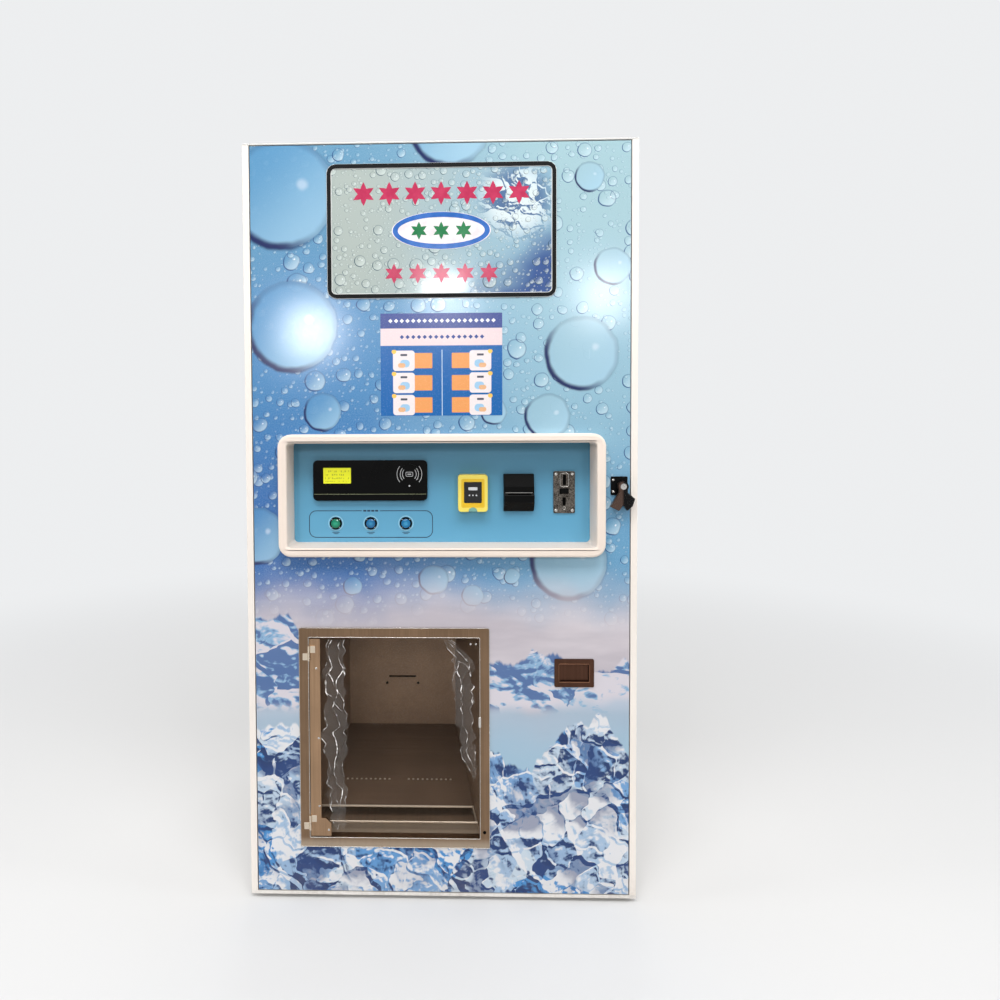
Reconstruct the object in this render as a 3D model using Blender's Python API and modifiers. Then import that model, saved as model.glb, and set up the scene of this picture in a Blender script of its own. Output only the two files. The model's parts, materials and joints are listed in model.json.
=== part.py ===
"""Walk-up ice vending machine: a tall sheet-steel cabinet whose service door carries the
lit sign, the control panel and the stainless dispensing bay, with the ice plant behind it.

Metres, +Z up, front towards -Y. The origin is the middle of the footprint on the floor.
"""
import math

import bmesh
import bpy
from mathutils import Matrix, Vector

# Overall size and fits
CABINET_WIDTH = 1.100
CABINET_DEPTH = 1.050
CABINET_HEIGHT = 2.150
SHEET = 0.003
SEAT_GAP = 0.0003
RUNNING_GAP = 0.0008
CUT_OVERRUN = 0.005
ROUND_STEPS = 20
SMALL_ROUND_STEPS = 10
CORNER_STEPS = 3
BEVEL_STEPS = 2

# Feet, base pan, roof and corner posts
FOOT_HEIGHT = 0.012
FOOT_RADIUS = 0.032
FOOT_TOP_RADIUS = 0.022
FOOT_INSET = 0.075
BASE_THICKNESS = 0.009
BASE_POCKET_DEPTH = 0.006
BASE_RIB = 0.110
BASE_POCKETS = 3
ROOF_THICKNESS = 0.005
EDGE_ROUND = 0.0015
POST_WIDTH = 0.018
POST_LEG_WIDTH = 0.045
POST_LEG_DEPTH = 0.038
CROSS_RAIL_HEIGHT = 0.040

# Louvres in the side and rear panels
LOUVRE_LENGTH = 0.320
LOUVRE_OPEN = 0.007
LOUVRE_PITCH = 0.034
LOUVRE_GAP = 0.060
LOUVRE_ROWS = 8
LOUVRE_COLUMNS = 1
LOUVRE_REACH = 0.014
LOUVRE_RISE = 0.012
LOUVRE_FIN = 0.0015
LOUVRE_FLOOR_GAP = 0.090
LOUVRE_REAR_GAP = 0.110

# Service door: frame tubes, skin, seal and hinge pins
DOOR_THICKNESS = 0.045
DOOR_GAP = 0.003
DOOR_SKIN = 0.002
STILE_WIDTH = 0.040
LOCK_STILE_WIDTH = 0.050
RAIL_HEIGHT = 0.040
CONTROL_RAIL_GAP = 0.003
BAY_RAIL_SHARE = 0.28
WINDOW_RAIL_SHARE = 0.88
SEAL_THICKNESS = 0.006
SEAL_WIDTH = 0.009
SEAL_INSET = 0.0135
DOOR_PIVOT_INSET = 0.012
DOOR_PIVOT_DEPTH = 0.0078
HINGE_PIN_RADIUS = 0.0040
HINGE_PIN_LENGTH = 0.020
HINGE_COLLAR_RADIUS = 0.0055

# Lit window
WINDOW_ACROSS_SHARE = 0.505
WINDOW_UP_SHARE = 0.887
WINDOW_WIDTH = 0.636
WINDOW_HEIGHT = 0.370
WINDOW_CORNER = 0.024
GASKET_WIDTH = 0.010
GASKET_PROUD = 0.004
GASKET_LIP = 0.004
WINDOW_PANEL = 0.004
LIGHTBOX_DEPTH = 0.100
LIGHTBOX_MARGIN = 0.010

# Control panel: moulded surround, recess and fascia
CONTROL_UP_SHARE = 0.539
BEZEL_LEFT_MARGIN = 0.0755
BEZEL_RIGHT_MARGIN = 0.0725
BEZEL_HEIGHT = 0.343
BEZEL_PROUD = 0.035
BEZEL_FACE = 0.025
BEZEL_CORNER = 0.036
BEZEL_ROUND = 0.006
CONTROL_DEPTH = 0.070
FASCIA_THICKNESS = 0.003
FASCIA_BACK_MARGIN = 0.006

# Reader housing and its display
READER_ACROSS_SHARE = 0.261
READER_UP_SHARE = 0.620
READER_WIDTH = 0.332
READER_HEIGHT = 0.117
READER_THICKNESS = 0.012
READER_CORNER = 0.012
READER_LIP_HEIGHT = 0.018
READER_LIP_PROUD = 0.005
DISPLAY_WIDTH = 0.081
DISPLAY_HEIGHT = 0.046
DISPLAY_RIGHT = 0.096
DISPLAY_RISE = 0.014
DISPLAY_DEPTH = 0.002
PAD_RADIUS = 0.030
PAD_PROUD = 0.0015
PAD_ACROSS = 0.114
PAD_RISE = 0.018

# Choice buttons
BUTTONS_UP_SHARE = 0.189
BUTTON_SPACING = 0.1025
BUTTON_RING_RADIUS = 0.018
BUTTON_RING_PROUD = 0.005
BUTTON_BLOCK_WIDTH = 0.280
BUTTON_BLOCK_HEIGHT = 0.050
BUTTON_BLOCK_DEPTH = 0.012
BUTTON_CAP_RADIUS = 0.0130
BUTTON_CAP_PROUD = 0.0035
BUTTON_CAP_LENGTH = 0.018

# Payment units, from left to right
TERMINAL_ACROSS_SHARE = 0.606
PAYMENT_UP_SHARE = 0.497
TERMINAL_WIDTH = 0.085
TERMINAL_HEIGHT = 0.107
TERMINAL_THICKNESS = 0.030
TERMINAL_CORNER = 0.009
TERMINAL_ROUND = 0.003
TERMINAL_FACE_WIDTH = 0.052
TERMINAL_FACE_HEIGHT = 0.065
TERMINAL_FACE_DEPTH = 0.002
TERMINAL_SLOT_RADIUS = 0.013
TERMINAL_SLOT_DEPTH = 0.010
BILL_ACROSS_SHARE = 0.760
BILL_WIDTH = 0.087
BILL_HEIGHT = 0.108
BILL_HOOD = 0.024
BILL_HOOD_TOP = 0.014
BILL_CHIN = 0.033
BILL_FOOT = 0.012
BILL_SLOT_WIDTH = 0.068
BILL_SLOT_OPEN = 0.0034
BILL_SLOT_DEPTH = 0.020
BILL_CHIN_DROP = 0.026
STACKER_WIDTH = 0.096
STACKER_HEIGHT = 0.220
STACKER_DEPTH = 0.190
COIN_ACROSS_SHARE = 0.913
COIN_WIDTH = 0.062
COIN_HEIGHT = 0.1215
COIN_PLATE = 0.004
COIN_CORNER = 0.004
COIN_BOSS_WIDTH = 0.024
COIN_BOSS_HEIGHT = 0.042
COIN_BOSS_PROUD = 0.004
COIN_BOSS_RISE = 0.036
COIN_SLOT_WIDTH = 0.0032
COIN_SLOT_HEIGHT = 0.030
REJECT_WIDTH = 0.0255
REJECT_HEIGHT = 0.0155
REJECT_PROUD = 0.004
REJECT_RISE = 0.003
REJECT_CLEARANCE = 0.0006
REFUND_WIDTH = 0.011
REFUND_HEIGHT = 0.028
REFUND_DEPTH = 0.003
REFUND_DROP = 0.028
COIN_CUTOUT_MARGIN = 0.008
MECH_WIDTH = 0.075
MECH_HEIGHT = 0.190
MECH_DEPTH = 0.120
CHUTE_PIPE_RADIUS = 0.012
CASH_BOX_WIDTH = 0.120
CASH_BOX_DEPTH = 0.130
CASH_BOX_SHIFT = 0.110

# Coin return
RETURN_ACROSS_SHARE = 0.854
RETURN_UP_SHARE = 0.3005
RETURN_WIDTH = 0.111
RETURN_HEIGHT = 0.080
RETURN_CORNER = 0.004
RETURN_PLATE = 0.003
RETURN_OPEN_WIDTH = 0.082
RETURN_OPEN_HEIGHT = 0.048
RETURN_DEPTH = 0.078
RETURN_WALL = 0.002
FLAP_THICKNESS = 0.002
FLAP_SIDE_GAP = 0.001
FLAP_DEPTH = 0.005
FLAP_PIN_RADIUS = 0.0018
FLAP_PIN_DROP = 0.003

# Handle lock
LOCK_INSET = 0.024
LOCK_UP_SHARE = 0.5505
LOCK_PLATE_WIDTH = 0.046
LOCK_PLATE_HEIGHT = 0.052
LOCK_PLATE = 0.004
LOCK_PLATE_SHIFT = 0.007
BARREL_RADIUS = 0.0135
BARREL_PROUD = 0.012
BARREL_DEPTH = 0.018
LOCK_SHAFT_RADIUS = 0.005
HANDLE_THICKNESS = 0.016
HANDLE_HUB_RADIUS = 0.012
HANDLE_DROP = 0.068
HANDLE_LEFT_REACH = 0.036
HANDLE_RIGHT_REACH = 0.032
HANDLE_ROUND = 0.002
CAM_LENGTH = 0.036
CAM_TAIL = 0.009
CAM_WIDTH = 0.015
CAM_THICKNESS = 0.004
CAM_CLEARANCE = 0.003
KEEPER_DEPTH = 0.0125
LATCH_BLOCK_WALL = 0.008

# Dispensing bay
BAY_ACROSS_SHARE = 0.373
BAY_UP_SHARE = 0.2108
BAY_WIDTH = 0.542
BAY_HEIGHT = 0.634
BAY_CORNER = 0.008
BAY_FLANGE = 0.029
BAY_FLANGE_PROUD = 0.003
BAY_COLLAR_DEPTH = 0.022
BAY_COLLAR_WALL = 0.0025
BAY_DEPTH = 0.420
BAY_SIDE_TAPER = 0.062
BAY_WALL = 0.002
FLOOR_FRONT_DEPTH = 0.100
FLOOR_FRONT_RISE = 0.036
FLOOR_BACK_RISE = 0.152
FLOOR_SHEET = 0.002
DRAIN_HOLES = 10
DRAIN_HOLE_PITCH = 0.0145
DRAIN_HOLE_RADIUS = 0.0022
DRAIN_HOLE_STEPS = 6
DRAIN_GROUP_GAP = 0.060
DRAIN_HOLE_DISTANCE = 0.100
BAY_RAIL_RADIUS = 0.0032
FRONT_RAIL_DEPTH = 0.036
FRONT_RAIL_RISE = 0.024

# Bay door
BAY_DOOR_GAP = 0.003
BAY_STILE_WIDTH = 0.030
BAY_STILE_THICKNESS = 0.007
BAY_STILE_FOOT_WIDTH = 0.028
BAY_STILE_FOOT_HEIGHT = 0.052
BAY_STILE_FOOT_SLOPE = 0.016
BAY_PANE = 0.005
BAY_PIVOT_PROUD = 0.0078
BAY_KNUCKLE_RADIUS = 0.0038
BAY_LEAF_THICKNESS = 0.0018
BAY_LEAF_REACH = 0.018
BAY_LEAF_HEIGHT = 0.042
BAY_LEAF_INSET = 0.0435
BAY_HINGE_PIN_RADIUS = 0.0016

# Clear protective film left on the bay door
FILM_THICKNESS = 0.0012
FILM_FOLD = 0.0055
FILM_FOLDS = 3
FILM_STEPS = 24
FILM_LEFT_WIDTH = 0.056
FILM_LEFT_INSET = 0.012
FILM_LEFT_TOP_MARGIN = 0.003
FILM_LEFT_BOTTOM_MARGIN = 0.006
FILM_RIGHT_WIDTH = 0.060
FILM_RIGHT_INSET = 0.008
FILM_RIGHT_HEIGHT = 0.350
FILM_BAND = 0.012

# Shelf and ice maker
SHELF_UP_SHARE = 0.7265
SHELF_SHEET = 0.006
SHELF_FLANGE = 0.030
SHELF_FRONT_DEPTH = 0.300
MAKER_RADIUS = 0.110
MAKER_BASE_HEIGHT = 0.110
MAKER_BASE_WIDTH = 0.260
MAKER_DRUM_HEIGHT = 0.300
MAKER_BAND = 0.006
MAKER_BANDS = 4
MAKER_ACROSS_SHARE = 0.188
MAKER_DEPTH = 0.620
PORT_WIDTH = 0.120
PORT_HEIGHT = 0.120
PORT_REACH = 0.145
SPOUT_RADIUS = 0.050
SPOUT_WALL = 0.003
SPOUT_LEAD = 0.010
SPOUT_BEND = 0.085
SPOUT_DIP = 0.020
SPOUT_BEND_STEPS = 6

# Ice bin, auger, chute and shutter
BIN_FRONT_DEPTH = 0.345
BIN_REAR_MARGIN = 0.200
BIN_HALF_WIDTH = 0.270
BIN_HEIGHT = 0.545
BIN_STRAIGHT = 0.200
BIN_WALL = 0.003
BIN_RIM = 0.022
BIN_RIM_SHEET = 0.004
TROUGH_RADIUS = 0.090
TROUGH_STEPS = 8
DROP_WIDTH = 0.110
DROP_LENGTH = 0.140
DROP_FRONT_GAP = 0.016
AUGER_RADIUS = 0.078
AUGER_SHAFT_RADIUS = 0.013
AUGER_PITCH = 0.115
AUGER_FLIGHT = 0.004
AUGER_END_GAP = 0.012
AUGER_STEPS = 12
AUGER_SHAFT_OVERHANG = 0.008
AUGER_MOTOR_WIDTH = 0.120
AUGER_MOTOR_DEPTH = 0.080
AUGER_MOTOR_RADIUS = 0.045
AUGER_MOTOR_LENGTH = 0.070
CHUTE_WALL = 0.003
CHUTE_SHIFT = 0.110
CHUTE_SADDLE = 0.045
SHUTTER_THICKNESS = 0.003
SHUTTER_LAP = 0.006
SHUTTER_LINER_GAP = 0.012
SHUTTER_TRAVEL = 0.160
GUIDE_WIDTH = 0.012
GUIDE_LIP = 0.005
GUIDE_SHEET = 0.003

# Refrigeration, fan and electrics
COMPRESSOR_RADIUS = 0.085
COMPRESSOR_HEIGHT = 0.190
COMPRESSOR_FOOT = 0.110
COMPRESSOR_FOOT_SHEET = 0.006
COMPRESSOR_ACROSS_SHARE = 0.245
COMPRESSOR_DEPTH_SHARE = 0.760
CONDENSER_ACROSS_SHARE = 0.720
CONDENSER_WIDTH = 0.400
CONDENSER_HEIGHT = 0.380
CONDENSER_THICKNESS = 0.050
CONDENSER_REAR_GAP = 0.030
CONDENSER_FINS = 16
CONDENSER_FIN_DEPTH = 0.012
SHROUD_DEPTH = 0.036
FAN_RADIUS = 0.140
FAN_TIP_GAP = 0.006
FAN_HUB_RADIUS = 0.034
FAN_HUB_LENGTH = 0.026
FAN_BLADES = 5
FAN_BLADE_SHEET = 0.003
FAN_BLADE_STEPS = 4
FAN_ROOT_PITCH = 42.0
FAN_TIP_PITCH = 22.0
FAN_BLADE_ROOT_CHORD = 0.036
FAN_BLADE_TIP_CHORD = 0.072
FAN_STANDOFF = 0.004
MOTOR_RADIUS = 0.042
MOTOR_LENGTH = 0.070
MOTOR_SHAFT_RADIUS = 0.006
MOTOR_ARM_WIDTH = 0.014
MOTOR_ARM_SHEET = 0.004
MOTOR_ARMS = 3
CONTROL_BOX_WIDTH = 0.130
CONTROL_BOX_DEPTH = 0.320
CONTROL_BOX_HEIGHT = 0.400
CONTROL_BOX_FRONT_DEPTH = 0.480
CONTROL_BOX_UP_SHARE = 0.530
CONTROL_BOX_ROUND = 0.006
MANIFOLD_WIDTH = 0.130
MANIFOLD_HEIGHT = 0.060
MANIFOLD_DEPTH = 0.034
MANIFOLD_WALL = 0.003
MANIFOLD_ACROSS_SHARE = 0.840
MANIFOLD_UP_SHARE = 0.400
NIPPLE_RADIUS = 0.011
NIPPLE_BORE = 0.007
NIPPLE_SPACING = 0.060
INLET_WIDTH = 0.050
INLET_HEIGHT = 0.030
INLET_DEPTH = 0.024
INLET_UP_SHARE = 0.470
INLET_ACROSS_SHARE = 0.840
INLET_WALL = 0.003
INLET_PIN_WIDTH = 0.004
INLET_PIN_SPACING = 0.012

# Places worked out from the sizes above. Depths are counted from the door's front face.
FRONT_Y = (BEZEL_PROUD - CABINET_DEPTH) / 2
REAR_Y = FRONT_Y + CABINET_DEPTH
HALF_WIDTH = CABINET_WIDTH / 2
BASE_TOP = FOOT_HEIGHT + BASE_THICKNESS
ROOF_BOTTOM = CABINET_HEIGHT - ROOF_THICKNESS
INSIDE = HALF_WIDTH - SHEET - SEAT_GAP
DOOR_LEFT = POST_WIDTH + DOOR_GAP - HALF_WIDTH
DOOR_RIGHT = HALF_WIDTH - POST_WIDTH - DOOR_GAP
DOOR_BOTTOM = BASE_TOP + DOOR_GAP
DOOR_TOP = ROOF_BOTTOM - DOOR_GAP
LEG_FRONT = DOOR_THICKNESS + SEAL_THICKNESS + 2 * SEAT_GAP
LEG_BACK = LEG_FRONT + POST_LEG_DEPTH
DOOR_FRAME_FRONT = DOOR_SKIN + SEAT_GAP


def across(share):
    """X at a share of the service door's width, counted from its left edge."""
    return DOOR_LEFT + share * (DOOR_RIGHT - DOOR_LEFT)


def up(share):
    """Z at a share of the service door's height, counted from its lower edge."""
    return DOOR_BOTTOM + share * (DOOR_TOP - DOOR_BOTTOM)


def at(depth):
    """Y at a depth behind the door's front face; negative depths stand proud of it."""
    return FRONT_Y + depth


CONTROL_X = (DOOR_LEFT + BEZEL_LEFT_MARGIN + DOOR_RIGHT - BEZEL_RIGHT_MARGIN) / 2
CONTROL_Z = up(CONTROL_UP_SHARE)
BEZEL_WIDTH = DOOR_RIGHT - BEZEL_RIGHT_MARGIN - DOOR_LEFT - BEZEL_LEFT_MARGIN
RECESS_WIDTH = BEZEL_WIDTH - 2 * BEZEL_FACE
RECESS_HEIGHT = BEZEL_HEIGHT - 2 * BEZEL_FACE
RECESS_CORNER = BEZEL_CORNER - BEZEL_FACE
FASCIA_BACK = CONTROL_DEPTH + FASCIA_THICKNESS + SEAT_GAP
WINDOW_X = across(WINDOW_ACROSS_SHARE)
WINDOW_Z = up(WINDOW_UP_SHARE)
BAY_X = across(BAY_ACROSS_SHARE)
BAY_Z = up(BAY_UP_SHARE)
BAY_OPEN_WIDTH = BAY_WIDTH - 2 * BAY_FLANGE
BAY_OPEN_HEIGHT = BAY_HEIGHT - 2 * BAY_FLANGE
BAY_LEFT = BAY_X - BAY_OPEN_WIDTH / 2
BAY_RIGHT = BAY_X + BAY_OPEN_WIDTH / 2
BAY_BOTTOM = BAY_Z - BAY_OPEN_HEIGHT / 2
BAY_TOP = BAY_Z + BAY_OPEN_HEIGHT / 2
LINER_FRONT = BAY_COLLAR_DEPTH + SEAT_GAP
LOCK_X = DOOR_RIGHT - LOCK_INSET
LOCK_Z = up(LOCK_UP_SHARE)
CAM_DEPTH = BARREL_DEPTH + SEAT_GAP
RETURN_X = across(RETURN_ACROSS_SHARE)
RETURN_Z = up(RETURN_UP_SHARE)
SHELF_Z = up(SHELF_UP_SHARE)
TROUGH_Z = SHELF_Z - SEAT_GAP - BIN_HEIGHT + TROUGH_RADIUS
BIN_BACK_DEPTH = CABINET_DEPTH - BIN_REAR_MARGIN

PARTS = bpy.data.collections.new("ice_vending_machine")
CUTTERS = bpy.data.collections.new("cutters")
PLANES = {
    "yz": Matrix(((0, 0, 1), (1, 0, 0), (0, 1, 0))),
    "xz": Matrix(((1, 0, 0), (0, 0, -1), (0, 1, 0))),
    "xy": Matrix.Identity(3),
}
AXES = {
    "x": Matrix.Rotation(math.pi / 2, 3, "Y"),
    "-y": Matrix.Rotation(math.pi / 2, 3, "X"),
    "z": Matrix.Identity(3),
}


def clear_scene():
    for old in list(bpy.data.objects):
        bpy.data.objects.remove(old, do_unlink=True)
    bpy.context.scene.collection.children.link(PARTS)
    bpy.context.scene.collection.children.link(CUTTERS)
    CUTTERS.hide_render = True


def make_material(name, colour, roughness, metallic=0.0, alpha=1.0):
    material = bpy.data.materials.new(name)
    material.use_nodes = True
    shader = material.node_tree.nodes["Principled BSDF"]
    shader.inputs["Base Color"].default_value = (*colour, 1.0)
    shader.inputs["Roughness"].default_value = roughness
    shader.inputs["Metallic"].default_value = metallic
    shader.inputs["Alpha"].default_value = alpha
    return material


MATERIALS = {
    "white_paint": make_material("white_paint", (0.86, 0.87, 0.86), 0.35),
    "grey_paint": make_material("grey_paint", (0.46, 0.48, 0.50), 0.45),
    "blue_wrap": make_material("blue_wrap", (0.42, 0.68, 0.86), 0.30),
    "window_print": make_material("window_print", (0.62, 0.76, 0.82), 0.25),
    "black_rubber": make_material("black_rubber", (0.02, 0.02, 0.022), 0.60),
    "black_plastic": make_material("black_plastic", (0.025, 0.025, 0.03), 0.38),
    "cream_plastic": make_material("cream_plastic", (0.83, 0.84, 0.82), 0.32),
    "fascia_blue": make_material("fascia_blue", (0.13, 0.36, 0.52), 0.35),
    "yellow_plastic": make_material("yellow_plastic", (0.90, 0.66, 0.02), 0.35),
    "display_yellow": make_material("display_yellow", (0.72, 0.74, 0.10), 0.20),
    "green_lens": make_material("green_lens", (0.10, 0.62, 0.30), 0.20),
    "blue_lens": make_material("blue_lens", (0.08, 0.30, 0.72), 0.20),
    "stainless": make_material("stainless", (0.56, 0.53, 0.49), 0.28, 1.0),
    "bright_steel": make_material("bright_steel", (0.72, 0.72, 0.71), 0.18, 1.0),
    "clear_acrylic": make_material("clear_acrylic", (0.92, 0.95, 0.96), 0.05, 0.0, 0.25),
    "clear_film": make_material("clear_film", (0.93, 0.94, 0.95), 0.12, 0.0, 0.40),
    "aluminium": make_material("aluminium", (0.70, 0.71, 0.72), 0.35, 1.0),
    "copper": make_material("copper", (0.72, 0.38, 0.22), 0.35, 1.0),
}


def add_object(name, mesh, material):
    mesh.materials.clear()
    mesh.materials.append(MATERIALS[material])
    made = bpy.data.objects.new(name, mesh)
    PARTS.objects.link(made)
    return made


def from_bmesh(name, shape, material):
    bmesh.ops.recalc_face_normals(shape, faces=shape.faces)
    mesh = bpy.data.meshes.new(name)
    shape.to_mesh(mesh)
    shape.free()
    return add_object(name, mesh, material)


def bake(made):
    """Replaces an object's mesh by its evaluated one, so that its modifiers are used up."""
    graph = bpy.context.evaluated_depsgraph_get()
    mesh = bpy.data.meshes.new_from_object(made.evaluated_get(graph))
    made.modifiers.clear()
    made.data = mesh
    return made


def boolean(target, others, operation):
    for other in others:
        PARTS.objects.unlink(other)
        CUTTERS.objects.link(other)
        other.hide_render = True
        other.display_type = "WIRE"
        modifier = target.modifiers.new(other.name, "BOOLEAN")
        modifier.operation = operation
        modifier.solver = "EXACT"
        modifier.object = other
    bake(target)
    for other in others:
        bpy.data.objects.remove(other, do_unlink=True)
    return weld(target)


def weld(made):
    """Merges the corners that a Boolean leaves next to each other."""
    shape = bmesh.new()
    shape.from_mesh(made.data)
    bmesh.ops.remove_doubles(shape, verts=shape.verts, dist=SEAT_GAP / 20)
    bmesh.ops.dissolve_degenerate(shape, edges=shape.edges, dist=SEAT_GAP / 20)
    shape.to_mesh(made.data)
    shape.free()
    return made


def cut(target, *cutters):
    return boolean(target, cutters, "DIFFERENCE")


def fuse(target, *others):
    return boolean(target, others, "UNION")


def round_edges(made, width, steps=BEVEL_STEPS, angle=math.radians(50)):
    modifier = made.modifiers.new("rounded_edges", "BEVEL")
    modifier.width = width
    modifier.segments = steps
    modifier.limit_method = "ANGLE"
    modifier.angle_limit = angle
    return bake(made)


def smooth(made, angle=math.radians(40)):
    made.data.shade_smooth()
    made.data.set_sharp_from_angle(angle=angle)
    return made


def turn_about(made, point):
    """Moves an object's origin onto its joint's axis and leaves its shape where it is."""
    made.data.transform(Matrix.Translation(-Vector(point)))
    made.location = point
    return made


def box(name, low, high, material):
    shape = bmesh.new()
    bmesh.ops.create_cube(shape, size=1.0)
    size = Vector(high) - Vector(low)
    bmesh.ops.scale(shape, vec=size, verts=shape.verts)
    bmesh.ops.translate(shape, vec=(Vector(low) + Vector(high)) / 2, verts=shape.verts)
    return from_bmesh(name, shape, material)


def centred_box(name, centre, size, material):
    centre = Vector(centre)
    half = Vector(size) / 2
    return box(name, centre - half, centre + half, material)


def cylinder(name, centre, radius, length, axis, material, steps=ROUND_STEPS):
    shape = bmesh.new()
    bmesh.ops.create_cone(
        shape, cap_ends=True, segments=steps, radius1=radius, radius2=radius, depth=length
    )
    shape.transform(Matrix.Translation(centre) @ AXES[axis].to_4x4())
    return smooth(from_bmesh(name, shape, material))


def rectangle(x, z, width, height, corner=0.0, steps=CORNER_STEPS):
    """The corner points of a rectangle about (x, z), each corner an arc when it is round."""
    points = []
    for side_x, side_z, start in ((1, 1, 0), (-1, 1, 90), (-1, -1, 180), (1, -1, 270)):
        centre_x = x + side_x * (width / 2 - corner)
        centre_z = z + side_z * (height / 2 - corner)
        if corner == 0:
            points.append((centre_x, centre_z))
            continue
        for step in range(steps + 1):
            angle = math.radians(start + 90 * step / steps)
            points.append((centre_x + corner * math.cos(angle), centre_z + corner * math.sin(angle)))
    return points


def circle(x, z, radius, steps=ROUND_STEPS):
    turns = [2 * math.pi * step / steps for step in range(steps)]
    return [(x + radius * math.cos(turn), z + radius * math.sin(turn)) for turn in turns]


def plate(name, loops, plane, start, end, material):
    """A flat outline with holes, drawn in a plane and given its thickness across that plane."""
    curve = bpy.data.curves.new(name, "CURVE")
    curve.dimensions = "2D"
    curve.fill_mode = "BOTH"
    curve.extrude = abs(end - start) / 2
    for loop in loops:
        spline = curve.splines.new("POLY")
        spline.points.add(len(loop) - 1)
        for point, (first, second) in zip(spline.points, loop):
            point.co = (first, second, 0, 1)
        spline.use_cyclic_u = True
    outline = bpy.data.objects.new(name + "_outline", curve)
    CUTTERS.objects.link(outline)
    graph = bpy.context.evaluated_depsgraph_get()
    mesh = bpy.data.meshes.new_from_object(outline.evaluated_get(graph))
    bpy.data.objects.remove(outline, do_unlink=True)
    shape = bmesh.new()
    shape.from_mesh(mesh)
    bpy.data.meshes.remove(mesh)
    bmesh.ops.remove_doubles(shape, verts=shape.verts, dist=SEAT_GAP / 10)
    middle = PLANES[plane] @ Vector((0, 0, 1))
    middle = Vector([abs(value) for value in middle]) * (start + end) / 2
    shape.transform(Matrix.Translation(middle) @ PLANES[plane].to_4x4())
    return from_bmesh(name, shape, material)


def turned(name, profile, centre, axis, material, steps=ROUND_STEPS, closed=False):
    """A profile of (radius, height) points, swept once round its axis with a Screw modifier."""
    mesh = bpy.data.meshes.new(name)
    points = [(radius, 0, height) for radius, height in profile]
    edges = [(index, index + 1) for index in range(len(points) - 1)]
    if closed:
        edges.append((len(points) - 1, 0))
    mesh.from_pydata(points, edges, [])
    made = add_object(name, mesh, material)
    modifier = made.modifiers.new("turned", "SCREW")
    modifier.steps = steps
    modifier.render_steps = steps
    modifier.use_merge_vertices = True
    modifier.merge_threshold = SEAT_GAP / 10
    bake(made)
    made.data.transform(Matrix.Translation(centre) @ AXES[axis].to_4x4())
    return smooth(made)


def pipe(name, points, radius, material, capped=True, resolution=2):
    """A round tube along straight runs, from a curve with a bevel depth."""
    curve = bpy.data.curves.new(name, "CURVE")
    curve.dimensions = "3D"
    curve.bevel_depth = radius
    curve.bevel_resolution = resolution
    curve.use_fill_caps = capped
    spline = curve.splines.new("POLY")
    spline.points.add(len(points) - 1)
    for point, place in zip(spline.points, points):
        point.co = (*place, 1)
    route = bpy.data.objects.new(name + "_route", curve)
    CUTTERS.objects.link(route)
    graph = bpy.context.evaluated_depsgraph_get()
    mesh = bpy.data.meshes.new_from_object(route.evaluated_get(graph))
    bpy.data.objects.remove(route, do_unlink=True)
    shape = bmesh.new()
    shape.from_mesh(mesh)
    bpy.data.meshes.remove(mesh)
    bmesh.ops.remove_doubles(shape, verts=shape.verts, dist=SEAT_GAP / 10)
    return smooth(from_bmesh(name, shape, material))


def thicken(made, thickness, outward=True):
    """Gives an open surface its wall, outside or inside the drawn faces."""
    modifier = made.modifiers.new("wall", "SOLIDIFY")
    modifier.thickness = thickness
    modifier.offset = 1.0 if outward else -1.0
    modifier.use_even_offset = True
    return bake(made)


def drop_faces(made, test):
    """Opens a closed shape by deleting the faces whose middle passes the test."""
    shape = bmesh.new()
    shape.from_mesh(made.data)
    doomed = [face for face in shape.faces if test(face.calc_center_median())]
    bmesh.ops.delete(shape, geom=doomed, context="FACES")
    shape.to_mesh(made.data)
    shape.free()
    return made


# Cabinet shell


def cross_rail(name, low, high):
    """The bar between the legs of the two front posts, welded to the base or to the roof."""
    reach = HALF_WIDTH - POST_LEG_WIDTH - SEAT_GAP
    return box(name, (-reach, at(LEG_FRONT), low), (reach, at(LEG_BACK), high), "white_paint")


def make_base():
    """A pressed pan with ribs below, a round foot at each corner and a sill rail at the front."""
    base = box(
        "base_frame",
        (-HALF_WIDTH, FRONT_Y, FOOT_HEIGHT),
        (HALF_WIDTH, REAR_Y, BASE_TOP),
        "white_paint",
    )
    room = CABINET_WIDTH - 2 * BASE_RIB
    rib = BASE_RIB / 2
    width = (room - (BASE_POCKETS - 1) * rib) / BASE_POCKETS
    pockets = []
    for index in range(BASE_POCKETS):
        left = BASE_RIB - HALF_WIDTH + index * (width + rib)
        pockets.append(
            box(
                "pocket",
                (left, at(BASE_RIB), FOOT_HEIGHT - CUT_OVERRUN),
                (left + width, REAR_Y - BASE_RIB, FOOT_HEIGHT + BASE_POCKET_DEPTH),
                "white_paint",
            )
        )
    cut(base, *pockets)
    profile = (
        (0, FOOT_HEIGHT + BASE_POCKET_DEPTH / 2),
        (FOOT_TOP_RADIUS, FOOT_HEIGHT + BASE_POCKET_DEPTH / 2),
        (FOOT_TOP_RADIUS, FOOT_HEIGHT / 2),
        (FOOT_RADIUS, FOOT_HEIGHT / 4),
        (FOOT_RADIUS, 0),
        (0, 0),
    )
    feet = []
    for side in (-1, 1):
        for depth in (FOOT_INSET, CABINET_DEPTH - FOOT_INSET):
            place = (side * (HALF_WIDTH - FOOT_INSET), at(depth), 0)
            feet.append(turned("foot", profile, place, "z", "white_paint", SMALL_ROUND_STEPS))
    fuse(base, *feet, cross_rail("sill", BASE_TOP - SEAT_GAP, BASE_TOP + CROSS_RAIL_HEIGHT))


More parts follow.
